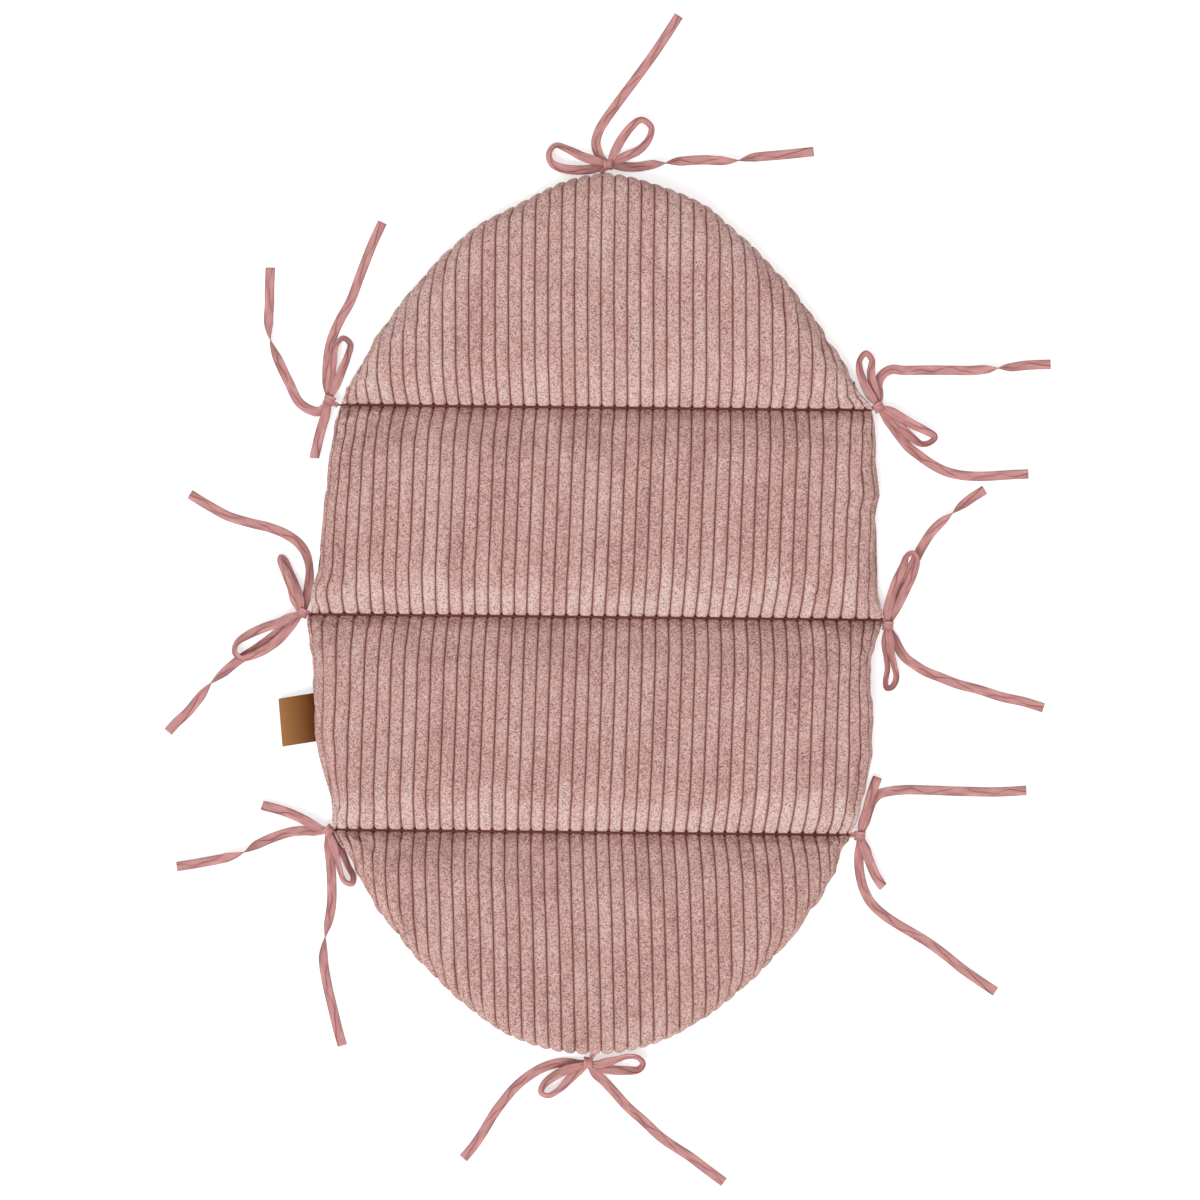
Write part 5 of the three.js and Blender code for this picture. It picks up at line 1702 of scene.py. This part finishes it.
def build_knot(wrap, tie, body, anchor, routes):
    """A bow's knot, a copy of the wrap turned to the bow's legs, and the root sewn into the pad."""
    x, y = routes["knot"]
    low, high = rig.box(f"{tie}_knot")
    lift = (low.z + high.z) / 2
    place = Vector((PAD_X + anchor[0] + x * MM, anchor[1] + y * MM, lift))
    axis = bow_axis(routes)
    select_only(wrap)
    bpy.ops.object.duplicate(linked=False)
    knot = bpy.context.object
    knot.name = f"{tie}_bow_knot"
    knot.rotation_euler = (0, 0, math.atan2(axis.y, axis.x))
    knot.location = place
    apply_place(knot)
    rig.ride(knot, body)
    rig.slot(knot, "tape")
    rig.replaces(knot, f"{tie}_knot")
    start = Vector((PAD_X + anchor[0], anchor[1], SEAM_Z - ROOT_BELOW))
    return knot, build_root(tie, body, start, place)


def build_root(tie, body, start, stop):
    """The sewn end of the two tapes: a gathered strip from the pad's edge into the knot."""
    run = stop - start
    level = run.xy.length
    length = level + ROOT_INSIDE
    inside = ROOT_INSIDE * Vector((run.x, run.y, 0)) / level
    bpy.ops.mesh.primitive_cube_add(size=1)
    root = added(f"{tie}_root_strip", (length, ROOT_WIDTH, ROOT_THICKNESS))
    bpy.ops.object.mode_set(mode="EDIT")
    for share, narrow in ROOT_RINGS:
        cut_ring((length / 2 * share, 0, 0), (1, 0, 0))
        bpy.ops.transform.resize(value=(1, narrow, 1 / narrow))
    for share, lift in ROOT_FOLDS:
        cut_ring((0, ROOT_WIDTH / 2 * share, 0), (0, 1, 0))
        bpy.ops.transform.translate(value=(0, 0, lift * MM))
    bpy.ops.object.mode_set(mode="OBJECT")
    round_off(root)
    co = coordinates(root)
    set_attribute(root, "along", co[:, 0] / MM)
    set_attribute(root, "across", co[:, 1] / MM)
    root.rotation_euler = (0, -math.atan2(run.z, level), math.atan2(run.y, run.x))
    root.location = (start - inside + stop) / 2
    apply_place(root)
    shade_smooth(root)
    root.data.materials.append(TAPE)
    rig.ride(root, body)
    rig.slot(root, "tape")
    return root


# The cross seams

# Half of the turned-in strip's height and width, and how far it ends inside the seam
STRIP_HALF_HEIGHT = 0.5 * MM
STRIP_HALF_WIDTH = 0.7 * MM
STRIP_END_INSIDE = 1.5 * MM
STITCH_LENGTH = 3.2 * MM
STITCH_THICKNESS = 0.6 * MM
STITCH_PITCH = 4 * MM
STITCH_MARGIN = 16 * MM
STITCH_FROM_SEAM = 2 * MM
STITCH_ARCH = 0.1 * MM


def build_seam(name, node, y, half, body, side):
    """The seam's turned-in cloth, a slim flat strip, and a row of stitches beside it at the back,
    on the side, 1 for headwards, where the seam's panel lies."""
    bpy.ops.mesh.primitive_cylinder_add(
        vertices=16, radius=1, depth=2, location=(PAD_X, y, SEAM_Z), rotation=(0, math.pi / 2, 0)
    )
    strip = added(name, (STRIP_HALF_HEIGHT, STRIP_HALF_WIDTH, half - STRIP_END_INSIDE))
    shade_smooth(strip)
    # The strip's colour is painted shade, darker than the cloth it is cut from
    strip.data.materials.append(SEAM_CLOTH_IN_SHADE)
    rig.ride(strip, body)
    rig.slot(strip, "seam_cloth")
    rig.replaces(strip, node)
    build_stitches(f"{name}_stitches", y, half, body, side)


def build_stitches(name, y, half, body, side):
    """A row of lock stitches in the back cloth of the panel that carries the seam."""
    count = int((2 * half - 2 * STITCH_MARGIN) / STITCH_PITCH)
    first = PAD_X - (count - 1) * STITCH_PITCH / 2
    out = STITCH_FROM_SEAM - SEAM_CLEAR
    share = shoulder(out, BACK_SEAM_SHOULDER, BACK_SEAM_ROUNDNESS)
    depth = LIP + (SEAM_Z - LIP) * share
    bpy.ops.mesh.primitive_uv_sphere_add(
        segments=10,
        ring_count=7,
        radius=1,
        location=(first, y + side * STITCH_FROM_SEAM, SEAM_Z - depth),
    )
    stitch = added(name, (STITCH_LENGTH / 2, STITCH_THICKNESS / 2, STITCH_THICKNESS / 2))
    bpy.ops.object.mode_set(mode="EDIT")
    cut_ring((first, y, 0), (1, 0, 0))
    bpy.ops.transform.translate(value=(0, -side * STITCH_ARCH, -STITCH_ARCH))
    bpy.ops.object.mode_set(mode="OBJECT")
    row = stitch.modifiers.new("row", "ARRAY")
    row.count = count
    row.use_relative_offset = False
    row.use_constant_offset = True
    row.constant_offset_displace = (STITCH_PITCH, 0, 0)
    apply_modifiers(stitch)
    shade_smooth(stitch)
    stitch.data.materials.append(THREAD)
    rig.ride(stitch, body)
    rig.slot(stitch, "seam_cloth")


def build_seams():
    for place, y, half, body, side in (
        ("head", HEAD_SEAM_Y, HEAD_SEAM_HALF, "upper_panel", -1),
        ("middle", MIDDLE_SEAM_Y, MIDDLE_SEAM_HALF, "upper_panel", 1),
        ("foot", FOOT_SEAM_Y, FOOT_SEAM_HALF, "lower_panel", 1),
    ):
        build_seam(f"{place}_cross_seam", f"{place}_seam", y, half, body, side)


# The leather tab

TAB_WIDTH = 41 * MM
TAB_LEATHER = 1 * MM
TAB_FOLD_GAP = 0.5 * MM
TAB_FOLD_STEPS = 8
TAB_STEPS = 6
TAB_CUTS = (-0.3, -0.1, 0.1, 0.3)
TAB_INSIDE = 1.2 * MM
TAB_EDGE_ROUND = 0.3 * MM
TAB_EDGE_STEPS = 3
TAB_EDGE_ANGLE = math.radians(50)
TAB_WELD = 0.01 * MM
# How its end hangs, and how its sides curl down
TAB_DROOP = 4 * MM
TAB_DROOP_POWER = 1.4
TAB_CURL = 0.5 * MM
# How much further out than its solid the tab reaches, and how far its end hangs footwards
TAB_LONGER = 3 * MM
TAB_SKEW = 2.4 * MM


def model_tab(reach):
    """One strip of leather along X, folded double at its outer end, which lies at minus reach."""
    step = (reach - TAB_LEATHER - TAB_FOLD_GAP / 2) / TAB_STEPS
    leaf = (TAB_LEATHER + TAB_FOLD_GAP) / 2
    bpy.ops.mesh.primitive_plane_add(
        size=1, location=(TAB_INSIDE, 0, -leaf), rotation=(0, math.pi / 2, 0)
    )
    tab = added("folded_leather_tab", (TAB_LEATHER, TAB_WIDTH, 1))
    bpy.ops.object.mode_set(mode="EDIT")
    bpy.ops.mesh.select_all(action="SELECT")
    lower = [-TAB_INSIDE, *[-step] * TAB_STEPS]
    for length in lower:
        bpy.ops.mesh.extrude_region_move(TRANSFORM_OT_translate={"value": (length, 0, 0)})
    fold = (-step * TAB_STEPS, 0, 0)
    bpy.ops.mesh.spin(steps=TAB_FOLD_STEPS, angle=math.pi, center=fold, axis=(0, 1, 0))
    for length in reversed(lower):
        bpy.ops.mesh.extrude_region_move(TRANSFORM_OT_translate={"value": (-length, 0, 0)})
    bpy.ops.mesh.select_all(action="SELECT")
    bpy.ops.mesh.remove_doubles(threshold=TAB_WELD)
    for share in TAB_CUTS:
        cut_ring((0, TAB_WIDTH * share, 0), (0, 1, 0))
    bpy.ops.object.mode_set(mode="OBJECT")
    point_normals_out(tab)
    edge = tab.modifiers.new("edge", "BEVEL")
    edge.width = TAB_EDGE_ROUND
    edge.segments = TAB_EDGE_STEPS
    edge.limit_method = "ANGLE"
    edge.angle_limit = TAB_EDGE_ANGLE
    apply_modifiers(tab)
    return tab


def build_tab(panel):
    """The leather tab, hanging out of the pad's left edge, into which it is sewn."""
    low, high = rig.box("leather_tab")
    y = (low.y + high.y) / 2
    from_seam = panel.seam_y - y
    root_x = PAD_X - panel.left_half(from_seam)
    head = panel.left_half(from_seam - TAB_WIDTH / 2)
    foot = panel.left_half(from_seam + TAB_WIDTH / 2)
    slant = math.atan((head - foot) / TAB_WIDTH)
    reach = (root_x - low.x) / math.cos(slant) - TAB_WIDTH / 2 * math.tan(slant) + TAB_LONGER
    tab = model_tab(reach)
    co = coordinates(tab)
    out = np.clip(-co[:, 0] / reach, 0, 1)
    side = co[:, 1] / (TAB_WIDTH / 2)
    co[:, 2] -= TAB_DROOP * out**TAB_DROOP_POWER + TAB_CURL * out * side**2
    co[:, 1] -= TAB_SKEW * out
    tab.data.vertices.foreach_set("co", co.ravel())
    # Painted light: 0 at the pad, up to 1 at the fold
    set_attribute(tab, "worn", out)
    tab.rotation_euler = (0, 0, slant)
    tab.location = (root_x, y, SEAM_Z)
    apply_place(tab)
    shade_by_angle(tab)
    tab.data.materials.append(LEATHER)
    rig.ride(tab, "lower_panel")
    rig.slot(tab, "leather")
    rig.replaces(tab, "leather_tab")


# Build

CORDUROY = corduroy_finish()
TAPE = tape_finish()
BACK_CLOTH = woven_finish("rose_back_cloth", BACK_COLOUR, TAPE_TONE_AND_SHADE_COLOUR, 0.85)
SEAM_CLOTH_IN_SHADE = woven_finish("deep_rose_seam_cloth", SEAM_SHADE_COLOUR, GROOVE_COLOUR, 0.95)
LEATHER = leather_finish()
THREAD = woven_finish("rose_thread", TAPE_COLOUR, TAPE_TONE_AND_SHADE_COLOUR, 0.6)

build_camera()
build_light()
build_floor()
build_ties()
for panel in pad_panels():
    build_panel_top(panel)
    build_panel_back(panel)
    if panel.name == "lower":
        build_tab(panel)
build_seams()

bpy.context.scene.view_settings.view_transform = "Standard"
visual_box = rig.bounds()
sizes = {"cad": [list(v) for v in cad_box], "visual": [list(v) for v in visual_box]}
json.dump(sizes, open("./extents.json", "w"))
